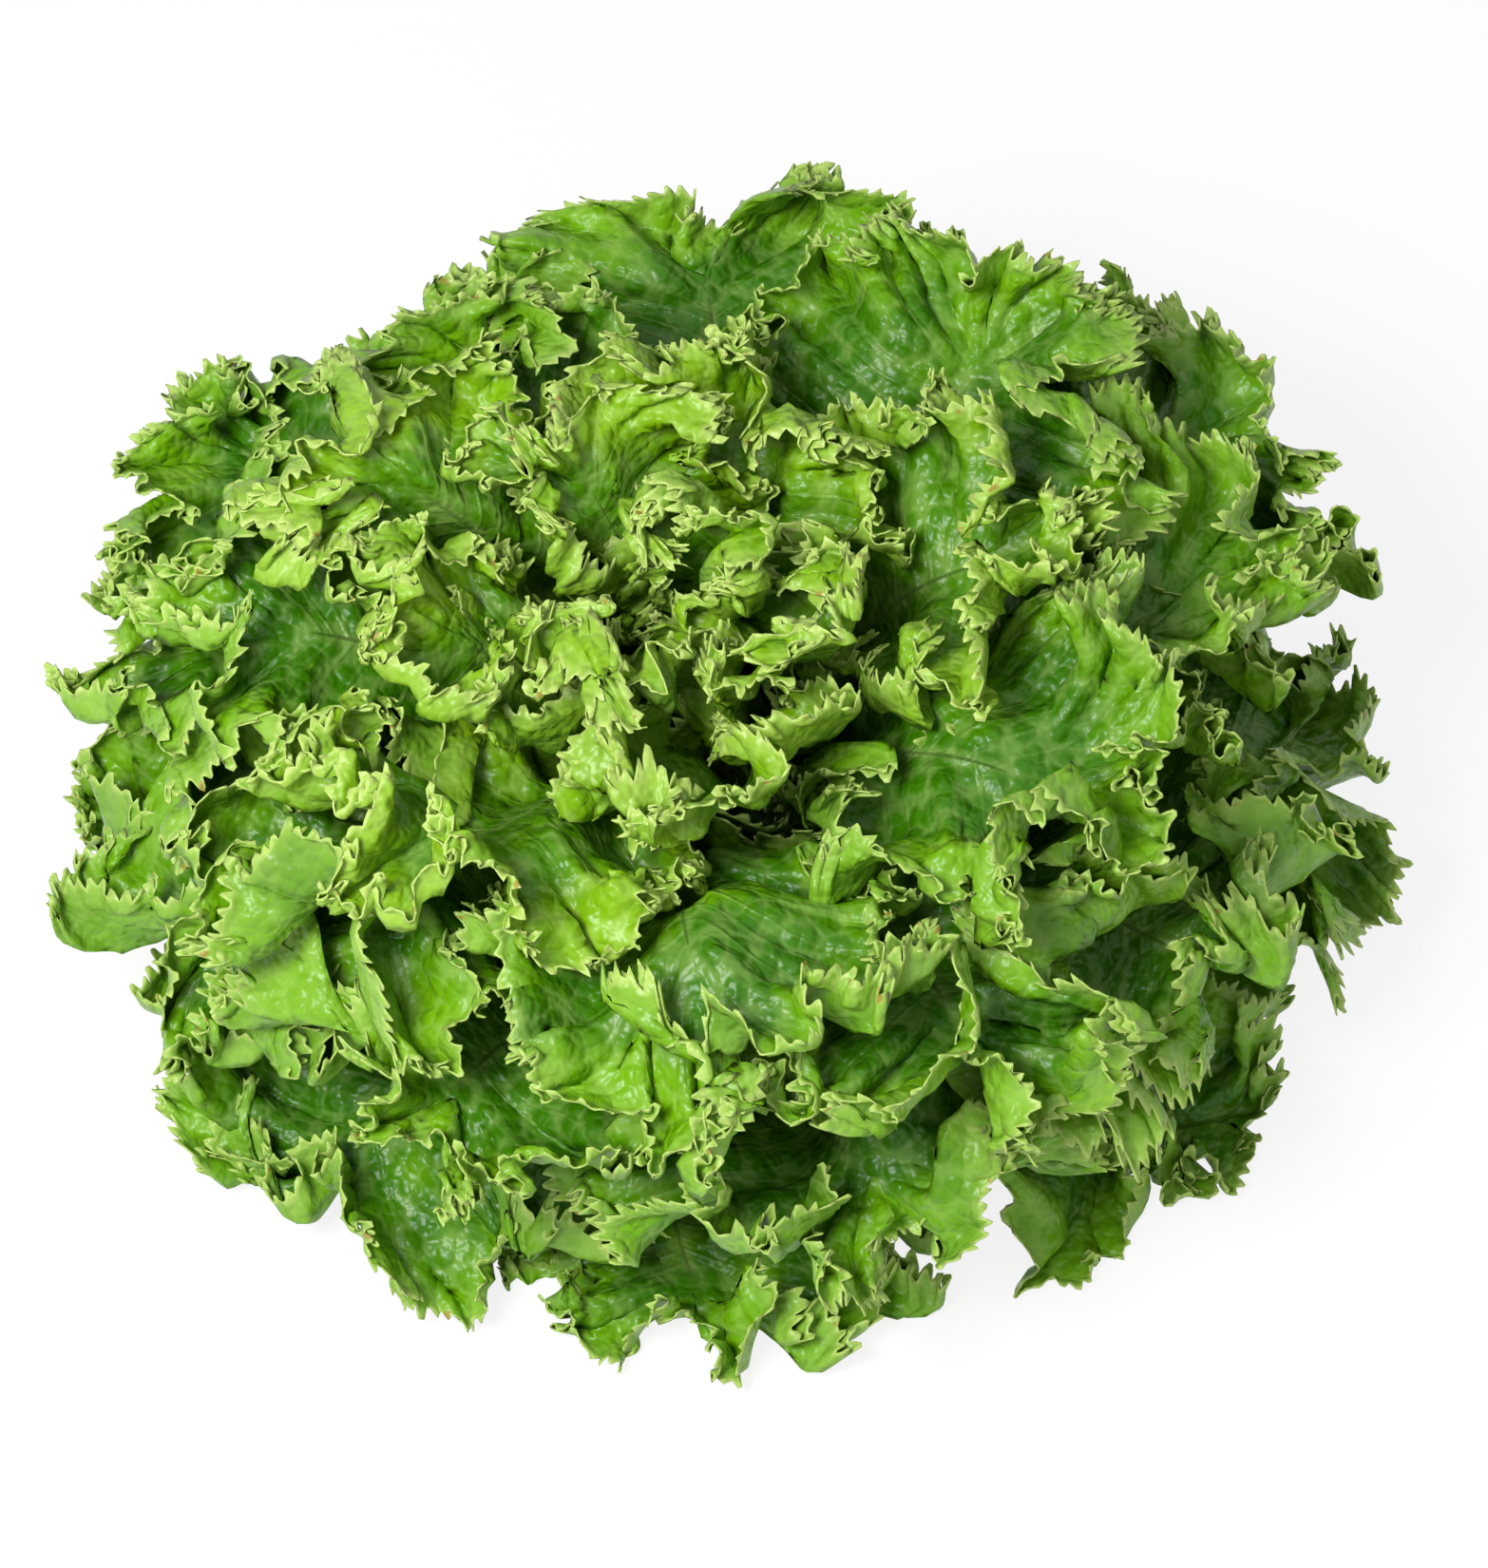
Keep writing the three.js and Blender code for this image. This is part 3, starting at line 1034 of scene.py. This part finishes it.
        indices: list[list[Array]] = []
        places: list[Array] = []
        picks: list[tuple[int, Array, int]] = []
        total = 0
        for face, sheet in enumerate((upper, lower)):
            ring = []
            for row in range(rows):
                chosen = np.arange(0, count + 1, strides[row])
                if row == rows - 1:
                    half = chosen[: len(chosen) // 2 + 1]
                    ids = total + np.arange(len(half))
                    ring.append(np.concatenate([ids, ids[:-1][::-1]]))
                    chosen = half
                else:
                    ring.append(total + np.arange(len(chosen)))
                places.append(sheet[row, chosen])
                picks.append((row, chosen, face))
                total += len(chosen)
            indices.append(ring)
        faces = self.sheet_faces(indices[0], False) + self.sheet_faces(indices[1], True)
        faces += self.rim_faces(indices[0], indices[1])
        piece = mesh_object(f"{self.name}_frilled", np.concatenate(places), faces)
        for key in ("margin", "rib", "vein", "pitch"):
            values = np.concatenate([grid[key][row, chosen] for row, chosen, _ in picks])
            write_attribute(piece, f"leaf_{key}", values)
        under = np.concatenate([np.full(len(chosen), float(face)) for _, chosen, face in picks])
        write_attribute(piece, "leaf_under", under)
        return piece

    @staticmethod
    def sheet_faces(rings: list[Array], flip: bool) -> list[tuple[int, ...]]:
        """Joins neighbouring rows with faces.

        Args:
            rings: the points of each row, from the margin to the midrib.
            flip: True for the underside.

        Returns:
            The faces, with three where a row has half the columns of the one outside it.
        """
        faces: list[tuple[int, ...]] = []
        for outer, inner in zip(rings, rings[1:]):
            if len(outer) == len(inner):
                for a, b, c, d in zip(outer, outer[1:], inner[1:], inner):
                    faces.append((a, b, c, d))
            else:
                for step in range(len(inner) - 1):
                    a, b, c = outer[2 * step], outer[2 * step + 1], outer[2 * step + 2]
                    d, e = inner[step], inner[step + 1]
                    faces += [(a, b, d), (b, e, d), (b, c, e)]
        faces = [face for face in faces if len(set(face)) == len(face)]
        return [tuple(reversed(face)) for face in faces] if flip else faces

    @staticmethod
    def rim_faces(upper: list[Array], lower: list[Array]) -> list[tuple[int, ...]]:
        """Closes the shell along the margin and across the foot of the stalk."""

        def rim(rings: list[Array]) -> list[int]:
            """The outline of one sheet, once round."""
            foot = [ring[-1] for ring in rings[1:]] + [ring[0] for ring in rings[-2:0:-1]]
            return list(rings[0]) + foot

        above, below = rim(upper), rim(lower)
        turns = range(len(above))
        return [
            (above[i], below[i], below[(i + 1) % len(below)], above[(i + 1) % len(above)])
            for i in turns
        ]


# ---- the stem -------------------------------------------------------------------------------


@dataclass(frozen=True)
class StemForm:
    """The sizes of the cut stem, in millimetres."""

    columns: int = 120
    face_rows: int = 14
    side_rows: int = 44
    hollow: float = 0.9
    rounding: float = 1.2
    flutes: int = 13
    flute: float = 0.35
    scar_pitch: float = 5.5
    scar: float = 0.3
    grain: float = 0.25
    grain_size: float = 4.0
    flat_below: float = 0.05
    rim_rows: int = 3
    seed: int = 77


class Stem:
    """The cut stem that the leaves stand on."""

    NAME = "stem"

    def __init__(self, nest: Nest, form: StemForm) -> None:
        """Takes the layers of the head, whose stem this is, and the stem's own sizes."""
        self.nest, self.form = nest, form
        self.grain = Lattice(np.random.default_rng(form.seed), form.grain_size)

    def rings(self) -> tuple[Array, Array, Array]:
        """Follows the outline from the middle of the cut face over the rim to the top.

        Returns:
            The radius and the height of each ring, and 1 for those on the cut face.
        """
        form, height = self.form, self.nest.stem_height
        rim = self.nest.stem_radius - form.rounding
        face = np.linspace(0.0, 1.0, form.face_rows)
        rise = np.sin(np.linspace(0.0, FULL_TURN / 4, form.side_rows))
        z = form.rounding + (height - form.rounding) * rise
        bend = np.linspace(0.0, FULL_TURN / 4, form.rim_rows + 2)[1:-1]
        rim_out, rim_up = form.rounding * np.sin(bend), form.rounding * (1.0 - np.cos(bend))
        radius = np.concatenate([rim * face, rim + rim_out, self.nest.radius_of_stem(z)])
        level = np.concatenate([form.hollow * (1.0 - face**2), rim_up, z])
        return radius, level, np.concatenate([np.ones_like(face), np.zeros(len(bend) + len(z))])

    def build(self) -> bpy.types.Object:
        """Makes the stem as one closed shell, still without a finish."""
        form, stem_radius = self.form, self.nest.stem_radius
        radius, z, cut = self.rings()
        turn = np.linspace(0.0, FULL_TURN, form.columns, endpoint=False)
        radius_grid, turn_grid = np.meshgrid(radius, turn, indexing="ij")
        z_grid = np.repeat(z[:, None], form.columns, axis=1)
        spiral = z_grid / form.scar_pitch + turn_grid / FULL_TURN
        fluted = form.flute * np.cos(form.flutes * turn_grid)
        scarred = form.scar * np.abs(np.sin(math.pi * spiral))
        grain = form.grain * self.grain(turn_grid * stem_radius, z_grid + radius_grid)
        uneven = (fluted - scarred + grain - form.flute - form.grain) * (1.0 - cut[:, None])
        radius_grid = radius_grid + uneven * (radius_grid / stem_radius)
        z_grid = z_grid + np.abs(grain) * cut[:, None] * (z_grid > form.flat_below)
        across, back = radius_grid * np.cos(turn_grid), radius_grid * np.sin(turn_grid)
        points = np.stack([across, back, z_grid], axis=-1)
        inner = points[1:-1].reshape(-1, 3)
        places = np.concatenate([points[0, :1], inner, points[-1, :1]])
        piece = mesh_object("stem_cut", places, self.faces(len(radius) - 2))

        def spread(values: Array) -> Array:
            """One value for each ring, given to all its points."""
            return np.concatenate([values[:1], np.repeat(values[1:-1], form.columns), values[-1:]])

        write_attribute(piece, "stem_cut", spread(cut))
        write_attribute(piece, "stem_out", spread(radius / stem_radius))
        write_attribute(piece, "stem_up", spread(z / self.nest.stem_height))
        return piece

    def faces(self, rings: int) -> list[tuple[int, ...]]:
        """The faces between the rings and round the two middle points."""
        columns = self.form.columns
        last = rings * columns + 1
        faces: list[tuple[int, ...]] = []
        for column in range(columns):
            beside = (column + 1) % columns
            faces.append((0, 1 + beside, 1 + column))
            for ring in range(rings - 1):
                low, high = 1 + ring * columns, 1 + (ring + 1) * columns
                faces.append((low + column, low + beside, high + beside, high + column))
            top = 1 + (rings - 1) * columns
            faces.append((top + column, top + beside, last))
        return faces


# ---- finishes -------------------------------------------------------------------------------

Colour = tuple[float, float, float, float]
Ramp = tuple[float, float, float, float]


def linear(red: int, green: int, blue: int) -> Colour:
    """A colour given as it looks, from 0 to 255, as the shader takes it."""

    def one(value: int) -> float:
        """One channel, by the sRGB curve."""
        share = value / 255.0
        return share / 12.92 if share <= 0.04045 else ((share + 0.055) / 1.055) ** 2.4

    return (one(red), one(green), one(blue), 1.0)


class NodeSketch:
    """Adds nodes to a node tree and joins them."""

    def __init__(self, tree: bpy.types.NodeTree) -> None:
        """Takes the tree that the nodes go into."""
        self.tree = tree

    def node(self, kind: str, **settings: object) -> bpy.types.Node:
        """A new node of this kind with these settings."""
        node = self.tree.nodes.new(kind)
        for key, value in settings.items():
            setattr(node, key, value)
        return node

    def feed(self, socket: bpy.types.NodeSocket, value: object) -> None:
        """Joins an output to a socket, or sets the socket to a plain value."""
        if isinstance(value, bpy.types.NodeSocket):
            self.tree.links.new(value, socket)
        else:
            socket.default_value = value

    def math(self, operation: str, *values: object) -> bpy.types.NodeSocket:
        """One sum, product or other operation on numbers."""
        node = self.node("ShaderNodeMath", operation=operation)
        for socket, value in zip(node.inputs, values):
            self.feed(socket, value)
        return node.outputs["Value"]

    def ramp(
        self, value: object, low: float, high: float, start: float = 0.0, end: float = 1.0
    ) -> bpy.types.NodeSocket:
        """Maps a number from one range to another along an even curve.

        Args:
            value: the number.
            low: where the range begins.
            high: where the range ends.
            start: what is given at the beginning and below it.
            end: what is given at the end and above it.

        Returns:
            The output socket.
        """
        node = self.node("ShaderNodeMapRange", interpolation_type="SMOOTHSTEP")
        for key, given in (
            ("Value", value),
            ("From Min", low),
            ("From Max", high),
            ("To Min", start),
            ("To Max", end),
        ):
            self.feed(node.inputs[key], given)
        return node.outputs["Result"]

    def blend(self, share: object, base: object, over: object) -> bpy.types.NodeSocket:
        """Lays one colour over another.

        Args:
            share: how much of the upper colour shows, from 0 to 1.
            base: the colour below.
            over: the colour on top.

        Returns:
            The output socket.
        """
        node = self.node("ShaderNodeMix", data_type="RGBA")
        factor, colour_a, colour_b, colour_out = 0, 6, 7, 2
        for number, value in ((factor, share), (colour_a, base), (colour_b, over)):
            self.feed(node.inputs[number], value)
        return node.outputs[colour_out]

    def noise(self, place: object, size: float, detail: float) -> bpy.types.NodeSocket:
        """Soft noise with patches of this size in metres, and finer ones where detail is given."""
        node = self.node("ShaderNodeTexNoise")
        self.feed(node.inputs["Vector"], place)
        self.feed(node.inputs["Scale"], 1.0 / size)
        self.feed(node.inputs["Detail"], detail)
        return node.outputs["Fac"]

    def cells(self, place: object, size: float) -> bpy.types.NodeSocket:
        """The distance to the middle of the nearest of many cells of this size in metres."""
        node = self.node("ShaderNodeTexVoronoi", feature="F1")
        self.feed(node.inputs["Vector"], place)
        self.feed(node.inputs["Scale"], 1.0 / size)
        return node.outputs["Distance"]


class NodeGroup:
    """A group of nodes with named inputs and outputs."""

    def __init__(self, name: str, inputs: dict[str, str], outputs: dict[str, str]) -> None:
        """Makes the group and its sockets.

        Args:
            name: what the group is called.
            inputs: the kind of each input by name.
            outputs: the kind of each output by name.
        """
        self.tree = bpy.data.node_groups.new(name, "ShaderNodeTree")
        for way, sockets in (("INPUT", inputs), ("OUTPUT", outputs)):
            for key, kind in sockets.items():
                self.tree.interface.new_socket(key, in_out=way, socket_type=f"NodeSocket{kind}")
        self.sketch = NodeSketch(self.tree)
        self.given = self.sketch.node("NodeGroupInput").outputs
        self.result = self.sketch.node("NodeGroupOutput").inputs


@dataclass(frozen=True)
class TissueGrain:
    """The finest relief of a leaf: cells and patches in metres, veins in millimetres.

    A ramp holds the range it runs over, and what it gives at the beginning and at the end of it.
    """

    cell: float = 0.0044
    cell_height: Ramp = (0.0, 0.8, 1.0, 0.0)
    net: tuple[float, float] = (0.42, 0.8)
    pebble: float = 0.0016
    pebble_share: float = 0.7
    patch: float = 0.028
    vein_half_width: float = 0.9
    vein_core: float = 0.2
    vein_depth: float = 0.25
    vein_pitch: tuple[float, float] = (1.5, 4.0)
    vein_from_margin: tuple[float, float] = (2.0, 14.0)
    bump: float = 0.75
    bump_height: float = 0.0009


GRAIN = TissueGrain()


def relief_group() -> bpy.types.NodeTree:
    """The veins and the puckered tissue between them: masks and a height."""
    group = NodeGroup(
        "leaf_relief",
        {"Vein Turn": "Float", "Pitch": "Float", "Margin": "Float"},
        {"Height": "Float", "Vein": "Float", "Net": "Float", "Patch": "Float"},
    )
    sketch, given = group.sketch, group.given
    place = sketch.node("ShaderNodeTexCoord").outputs["Object"]

    turn = sketch.math("ADD", given["Vein Turn"], 0.5)
    share = sketch.math("ABSOLUTE", sketch.math("SUBTRACT", sketch.math("FRACT", turn), 0.5))
    away = sketch.math("MULTIPLY", share, given["Pitch"])
    half = GRAIN.vein_half_width
    line = sketch.ramp(away, GRAIN.vein_core * half, half, 1.0, 0.0)
    line = sketch.math("MULTIPLY", line, sketch.ramp(given["Pitch"], *GRAIN.vein_pitch))
    inside = sketch.ramp(given["Margin"], *GRAIN.vein_from_margin)
    vein = sketch.math("MULTIPLY", line, inside)
    cell = sketch.cells(place, GRAIN.cell)
    net = sketch.ramp(cell, *GRAIN.net)
    pebble = sketch.math("MULTIPLY", sketch.noise(place, GRAIN.pebble, 0.0), GRAIN.pebble_share)
    height = sketch.math("ADD", sketch.ramp(cell, *GRAIN.cell_height), pebble)
    height = sketch.math("SUBTRACT", height, sketch.math("MULTIPLY", vein, GRAIN.vein_depth))
    sketch.feed(group.result["Height"], height)
    sketch.feed(group.result["Vein"], vein)
    sketch.feed(group.result["Net"], net)
    sketch.feed(group.result["Patch"], sketch.noise(place, GRAIN.patch, 2.0))
    return group.tree


@dataclass(frozen=True)
class TissueTint:
    """Where the colours of a leaf show, and the most of each that shows.

    Distances are in millimetres, and the size of the specks is in metres.
    """

    # Paler tissue near the margin and darker tissue deep in the blade: partly the leaf's own paler
    # frills, partly painted shade standing in for the recesses deep in the head.
    paler_frill_and_inner_shade: Ramp = (4.0, 38.0, 0.14, -0.16)
    bright: tuple[float, float] = (0.35, 0.66)
    net_share: float = 0.16
    vein_share: float = 0.05
    underside_share: float = 0.34
    border: Ramp = (0.0, 8.0, 0.25, 0.0)
    edge: Ramp = (0.0, 1.3, 0.95, 0.0)
    rib: Ramp = (0.4, 3.4, 0.7, 0.0)
    rib_from_margin: tuple[float, float] = (20.0, 60.0)
    rib_by_side: Ramp = (0.0, 1.0, 0.2, 1.0)
    speck_size: float = 0.004
    speck: tuple[float, float] = (0.70, 0.76)
    speck_from_margin: Ramp = (0.8, 2.2, 1.0, 0.0)
    speck_share: float = 0.7


TINT = TissueTint()


def tint_group() -> bpy.types.NodeTree:
    """The colours of a leaf: tissue, with painted shade deeper in the blade, veins, ribs,
    underside, margin and a few rust specks.
    """
    group = NodeGroup(
        "leaf_tint",
        {
            "Deep": "Color", "Bright": "Color", "Rim": "Color", "Underside": "Color",
            "Rib Colour": "Color", "Speck Colour": "Color", "Margin": "Float", "Rib": "Float",
            "Under": "Float", "Vein": "Float", "Net": "Float", "Patch": "Float",
        },
        {"Colour": "Color"},
    )
    sketch, given = group.sketch, group.given
    place = sketch.node("ShaderNodeTexCoord").outputs["Object"]
    margin, under = given["Margin"], given["Under"]

    def share(mask: object, most: float) -> bpy.types.NodeSocket:
        """A mask that goes no further than a share."""
        return sketch.math("MULTIPLY", mask, most)

    # Patch noise gives random tone; the margin ramp adds paler frills and painted shade deep in the
    # blade.
    tone_with_inner_shade = sketch.math("ADD", given["Patch"], sketch.ramp(margin, *TINT.paler_frill_and_inner_shade))
    tint = sketch.blend(sketch.ramp(tone_with_inner_shade, *TINT.bright), given["Deep"], given["Bright"])
    tint = sketch.blend(share(given["Net"], TINT.net_share), tint, given["Rib Colour"])
    tint = sketch.blend(share(given["Vein"], TINT.vein_share), tint, given["Rib Colour"])
    tint = sketch.blend(share(under, TINT.underside_share), tint, given["Underside"])
    tint = sketch.blend(sketch.ramp(margin, *TINT.border), tint, given["Rim"])
    tint = sketch.blend(sketch.ramp(margin, *TINT.edge), tint, given["Rim"])
    rib = sketch.ramp(given["Rib"], *TINT.rib)
    rib = sketch.math("MULTIPLY", rib, sketch.ramp(margin, *TINT.rib_from_margin))
    rib = sketch.math("MULTIPLY", rib, sketch.ramp(under, *TINT.rib_by_side))
    tint = sketch.blend(rib, tint, given["Rib Colour"])
    speck = sketch.ramp(sketch.noise(place, TINT.speck_size, 1.0), *TINT.speck)
    speck = sketch.math("MULTIPLY", speck, sketch.ramp(margin, *TINT.speck_from_margin))
    tint = sketch.blend(share(speck, TINT.speck_share), tint, given["Speck Colour"])
    sketch.feed(group.result["Colour"], tint)
    return group.tree


@dataclass(frozen=True)
class LeafFinish:
    """The colours and the gloss of one kind of leaf."""

    name: str
    deep: Colour
    bright: Colour
    rim: Colour
    underside: Colour
    rib: Colour
    speck: Colour = linear(150, 104, 42)
    roughness: float = 0.34
    specular: float = 0.27

    def build(self, relief: bpy.types.NodeTree, tint: bpy.types.NodeTree) -> bpy.types.Material:
        """Makes the material.

        Args:
            relief: the group that gives the veins and the puckered tissue.
            tint: the group that gives the colours.

        Returns:
            The material.
        """
        material = bpy.data.materials.new(self.name)
        material.use_nodes = True
        sketch = NodeSketch(material.node_tree)
        shader = material.node_tree.nodes["Principled BSDF"]
        sketch.feed(shader.inputs["Roughness"], self.roughness)
        sketch.feed(shader.inputs["Specular IOR Level"], self.specular)

        def stored(key: str) -> bpy.types.NodeSocket:
            """A number stored on the leaf."""
            return sketch.node("ShaderNodeAttribute", attribute_name=f"leaf_{key}").outputs["Fac"]

        form = sketch.node("ShaderNodeGroup", node_tree=relief)
        for key, stored_key in (("Vein Turn", "vein"), ("Pitch", "pitch"), ("Margin", "margin")):
            sketch.feed(form.inputs[key], stored(stored_key))
        dress = sketch.node("ShaderNodeGroup", node_tree=tint)
        for key, value in (
            ("Deep", self.deep), ("Bright", self.bright), ("Rim", self.rim),
            ("Underside", self.underside), ("Rib Colour", self.rib), ("Speck Colour", self.speck),
            ("Margin", stored("margin")), ("Rib", stored("rib")), ("Under", stored("under")),
            ("Vein", form.outputs["Vein"]), ("Net", form.outputs["Net"]),
            ("Patch", form.outputs["Patch"]),
        ):
            sketch.feed(dress.inputs[key], value)
        bump = sketch.node("ShaderNodeBump")
        sketch.feed(bump.inputs["Strength"], GRAIN.bump)
        sketch.feed(bump.inputs["Distance"], GRAIN.bump_height)
        sketch.feed(bump.inputs["Height"], form.outputs["Height"])
        sketch.feed(shader.inputs["Base Color"], dress.outputs["Colour"])
        sketch.feed(shader.inputs["Normal"], bump.outputs["Normal"])
        return material


@dataclass(frozen=True)
class StemFinish:
    """The colours of the cut stem."""

    name: str
    flesh: Colour
    green: Colour
    cut_face: Colour
    browned: Colour
    green_from: tuple[float, float] = (0.1, 0.55)
    stain_size: float = 0.006
    stain: Ramp = (0.3, 0.6, 0.5, 1.0)
    ring: Ramp = (0.78, 0.98, 0.1, 0.75)
    pith: Ramp = (0.3, 0.5, 0.35, 0.0)
    roughness: float = 0.5

    def build(self) -> bpy.types.Material:
        """Makes the material: pale flesh, greener towards the top, browned where it was cut."""
        material = bpy.data.materials.new(self.name)
        material.use_nodes = True
        sketch = NodeSketch(material.node_tree)
        shader = material.node_tree.nodes["Principled BSDF"]
        place = sketch.node("ShaderNodeTexCoord").outputs["Object"]

        def stored(key: str) -> bpy.types.NodeSocket:
            """A number stored on the stem."""
            return sketch.node("ShaderNodeAttribute", attribute_name=f"stem_{key}").outputs["Fac"]

        side = sketch.blend(sketch.ramp(stored("up"), *self.green_from), self.flesh, self.green)
        stain = sketch.ramp(sketch.noise(place, self.stain_size, 3.0), *self.stain)
        ring = sketch.ramp(stored("out"), *self.ring)
        pith = sketch.ramp(stored("out"), *self.pith)
        brown = sketch.math("MULTIPLY", sketch.math("ADD", ring, pith), stain)
        face = sketch.blend(brown, self.cut_face, self.browned)
        sketch.feed(shader.inputs["Base Color"], sketch.blend(stored("cut"), side, face))
        sketch.feed(shader.inputs["Roughness"], self.roughness)
        return material


STEM_FINISH = StemFinish(
    "stem_flesh",
    flesh=linear(206, 216, 158),
    green=linear(140, 176, 72),
    cut_face=linear(222, 214, 170),
    browned=linear(160, 112, 62),
)

FINISHES = {
    LeafGroup.OUTER: LeafFinish(
        "outer_leaf_tissue",
        deep=linear(52, 106, 3),
        bright=linear(102, 156, 10),
        rim=linear(166, 192, 98),
        underside=linear(118, 162, 54),
        rib=linear(176, 204, 116),
    ),
    LeafGroup.MIDDLE: LeafFinish(
        "middle_leaf_tissue",
        deep=linear(54, 110, 2),
        bright=linear(106, 159, 10),
        rim=linear(170, 196, 102),
        underside=linear(124, 168, 52),
        rib=linear(186, 212, 122),
    ),
    LeafGroup.HEART: LeafFinish(
        "heart_leaf_tissue",
        deep=linear(72, 126, 4),
        bright=linear(122, 168, 14),
        rim=linear(178, 202, 108),
        underside=linear(138, 178, 58),
        rib=linear(196, 220, 130),
    ),
}


# ---- the studio -----------------------------------------------------------------------------


@dataclass(frozen=True)
class Studio:
    """The table, the lights and the camera, in metres and degrees."""

    table_size: float = 6.0
    table_white: float = 0.9
    table_roughness: float = 0.7
    elevation: float = 58.0
    azimuth: float = 0.0
    distance: float = 1.5
    view_width: float = 0.3395
    sensor: float = 36.0
    farthest: float = 10.0
    aim: tuple[float, float, float] = (0.009, -0.002, 0.05)
    white_share: float = 0.85
    key_place: tuple[float, float, float] = (-0.5, -0.5, 1.1)
    key_size: float = 0.45
    key_power: float = 18.0
    fill_towards: tuple[float, float, float] = (0.6, -0.8, 0.0)
    fill: tuple[float, float] = (0.2, 0.61)

    def table(self) -> None:
        """A plain white table that keeps the shadow of the head."""
        bpy.ops.mesh.primitive_plane_add(size=self.table_size, location=(0.0, 0.0, 0.0))
        plane = bpy.context.object
        plane.name = "table_top"
        material = bpy.data.materials.new("table_white")
        material.use_nodes = True
        shader = material.node_tree.nodes["Principled BSDF"]
        white = self.table_white
        shader.inputs["Base Color"].default_value = (white, white, white, 1.0)
        shader.inputs["Roughness"].default_value = self.table_roughness
        self.whiten(material, shader)
        plane.data.materials.append(material)

    @staticmethod
    def seen(sketch: NodeSketch) -> bpy.types.NodeSocket:
        """1 for what is seen directly or in a reflection, and 0 for what only lights."""
        rays = sketch.node("ShaderNodeLightPath").outputs
        seen = sketch.math("ADD", rays["Is Camera Ray"], rays["Is Glossy Ray"])
        return sketch.math("MINIMUM", sketch.math("ADD", seen, rays["Is Transmission Ray"]), 1.0)

    def whiten(self, material: bpy.types.Material, shader: bpy.types.Node) -> None:
        """Lays plain white over what the camera and reflections see of a surface."""
        sketch = NodeSketch(material.node_tree)
        white = sketch.node("ShaderNodeEmission")
        sketch.feed(white.inputs["Color"], (1.0, 1.0, 1.0, 1.0))
        mix = sketch.node("ShaderNodeMixShader")
        sketch.feed(mix.inputs["Fac"], sketch.math("MULTIPLY", self.seen(sketch), self.white_share))
        material.node_tree.links.new(shader.outputs["BSDF"], mix.inputs[1])
        material.node_tree.links.new(white.outputs["Emission"], mix.inputs[2])
        surface = material.node_tree.nodes["Material Output"].inputs["Surface"]
        material.node_tree.links.new(mix.outputs["Shader"], surface)

    def lights(self) -> None:
        """A key lamp from the left and a white surround that lights most from the right front."""
        world = bpy.data.worlds.new("white_surround")
        bpy.context.scene.world = world
        world.use_nodes = True
        sketch = NodeSketch(world.node_tree)
        background = world.node_tree.nodes["Background"]
        toward = sketch.node("ShaderNodeVectorMath", operation="DOT_PRODUCT")
        sketch.feed(toward.inputs[0], sketch.node("ShaderNodeTexCoord").outputs["Generated"])
        sketch.feed(toward.inputs[1], self.fill_towards)
        fill = sketch.ramp(toward.outputs["Value"], -1.0, 1.0, *self.fill)
        seen = self.seen(sketch)
        unseen = sketch.math("MULTIPLY", sketch.math("SUBTRACT", 1.0, seen), fill)
        sketch.feed(background.inputs["Color"], (1.0, 1.0, 1.0, 1.0))
        sketch.feed(background.inputs["Strength"], sketch.math("ADD", unseen, seen))
        data = bpy.data.lights.new("key", "AREA")
        data.size = self.key_size
        data.energy = self.key_power
        lamp = bpy.data.objects.new("key", data)
        lamp.location = self.key_place
        direction = Vector(self.aim) - Vector(self.key_place)
        lamp.rotation_euler = direction.to_track_quat("-Z", "Y").to_euler()
        bpy.context.scene.collection.objects.link(lamp)

    def camera(self) -> None:
        """A long lens that looks down on the head."""
        data = bpy.data.cameras.new("camera")
        up, turn = math.radians(self.elevation), math.radians(self.azimuth)
        away = Vector((math.sin(turn) * math.cos(up), -math.cos(turn) * math.cos(up), math.sin(up)))
        aim = Vector(self.aim)
        camera = bpy.data.objects.new("camera", data)
        camera.location = aim + away * self.distance
        camera.rotation_euler = (-away).to_track_quat("-Z", "Y").to_euler()
        data.sensor_fit = "HORIZONTAL"
        data.sensor_width = self.sensor
        data.lens = self.sensor * self.distance / self.view_width
        data.clip_end = self.farthest
        bpy.context.scene.collection.objects.link(camera)
        bpy.context.scene.camera = camera

    def build(self) -> None:
        """Sets up everything that isn't the head."""
        self.table()
        self.lights()
        self.camera()
        bpy.context.scene.view_settings.view_transform = "Standard"


# ---- the scene ------------------------------------------------------------------------------


def main() -> None:
    """Builds the head and its surroundings, and reports each piece."""
    logging.basicConfig(level=logging.INFO, format="%(message)s")
    Studio().build()
    nest, head, form = Nest(), HeadPlan(), LeafForm()
    pile, relief, tint = Pile(), relief_group(), tint_group()
    finishes = {group: finish.build(relief, tint) for group, finish in FINISHES.items()}
    stem = Stem(nest, StemForm()).build()
    stem.data.materials.append(STEM_FINISH.build())
    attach(stem, "root")
    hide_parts(Stem.NAME)
    total = triangles(stem)
    log.info("%s: %d triangles", Stem.NAME, total)
    for index in range(head.leaves):
        leaf = Leaf(nest, head, form, index)
        piece = leaf.build(pile)
        piece.data.materials.append(finishes[leaf.group])
        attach(piece, "root")
        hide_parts(leaf.name)
        total += triangles(piece)
        log.info("%s: %d triangles", leaf.name, triangles(piece))
    log.info("the whole head: %d triangles", total)


if __name__ == "__main__":
    main()
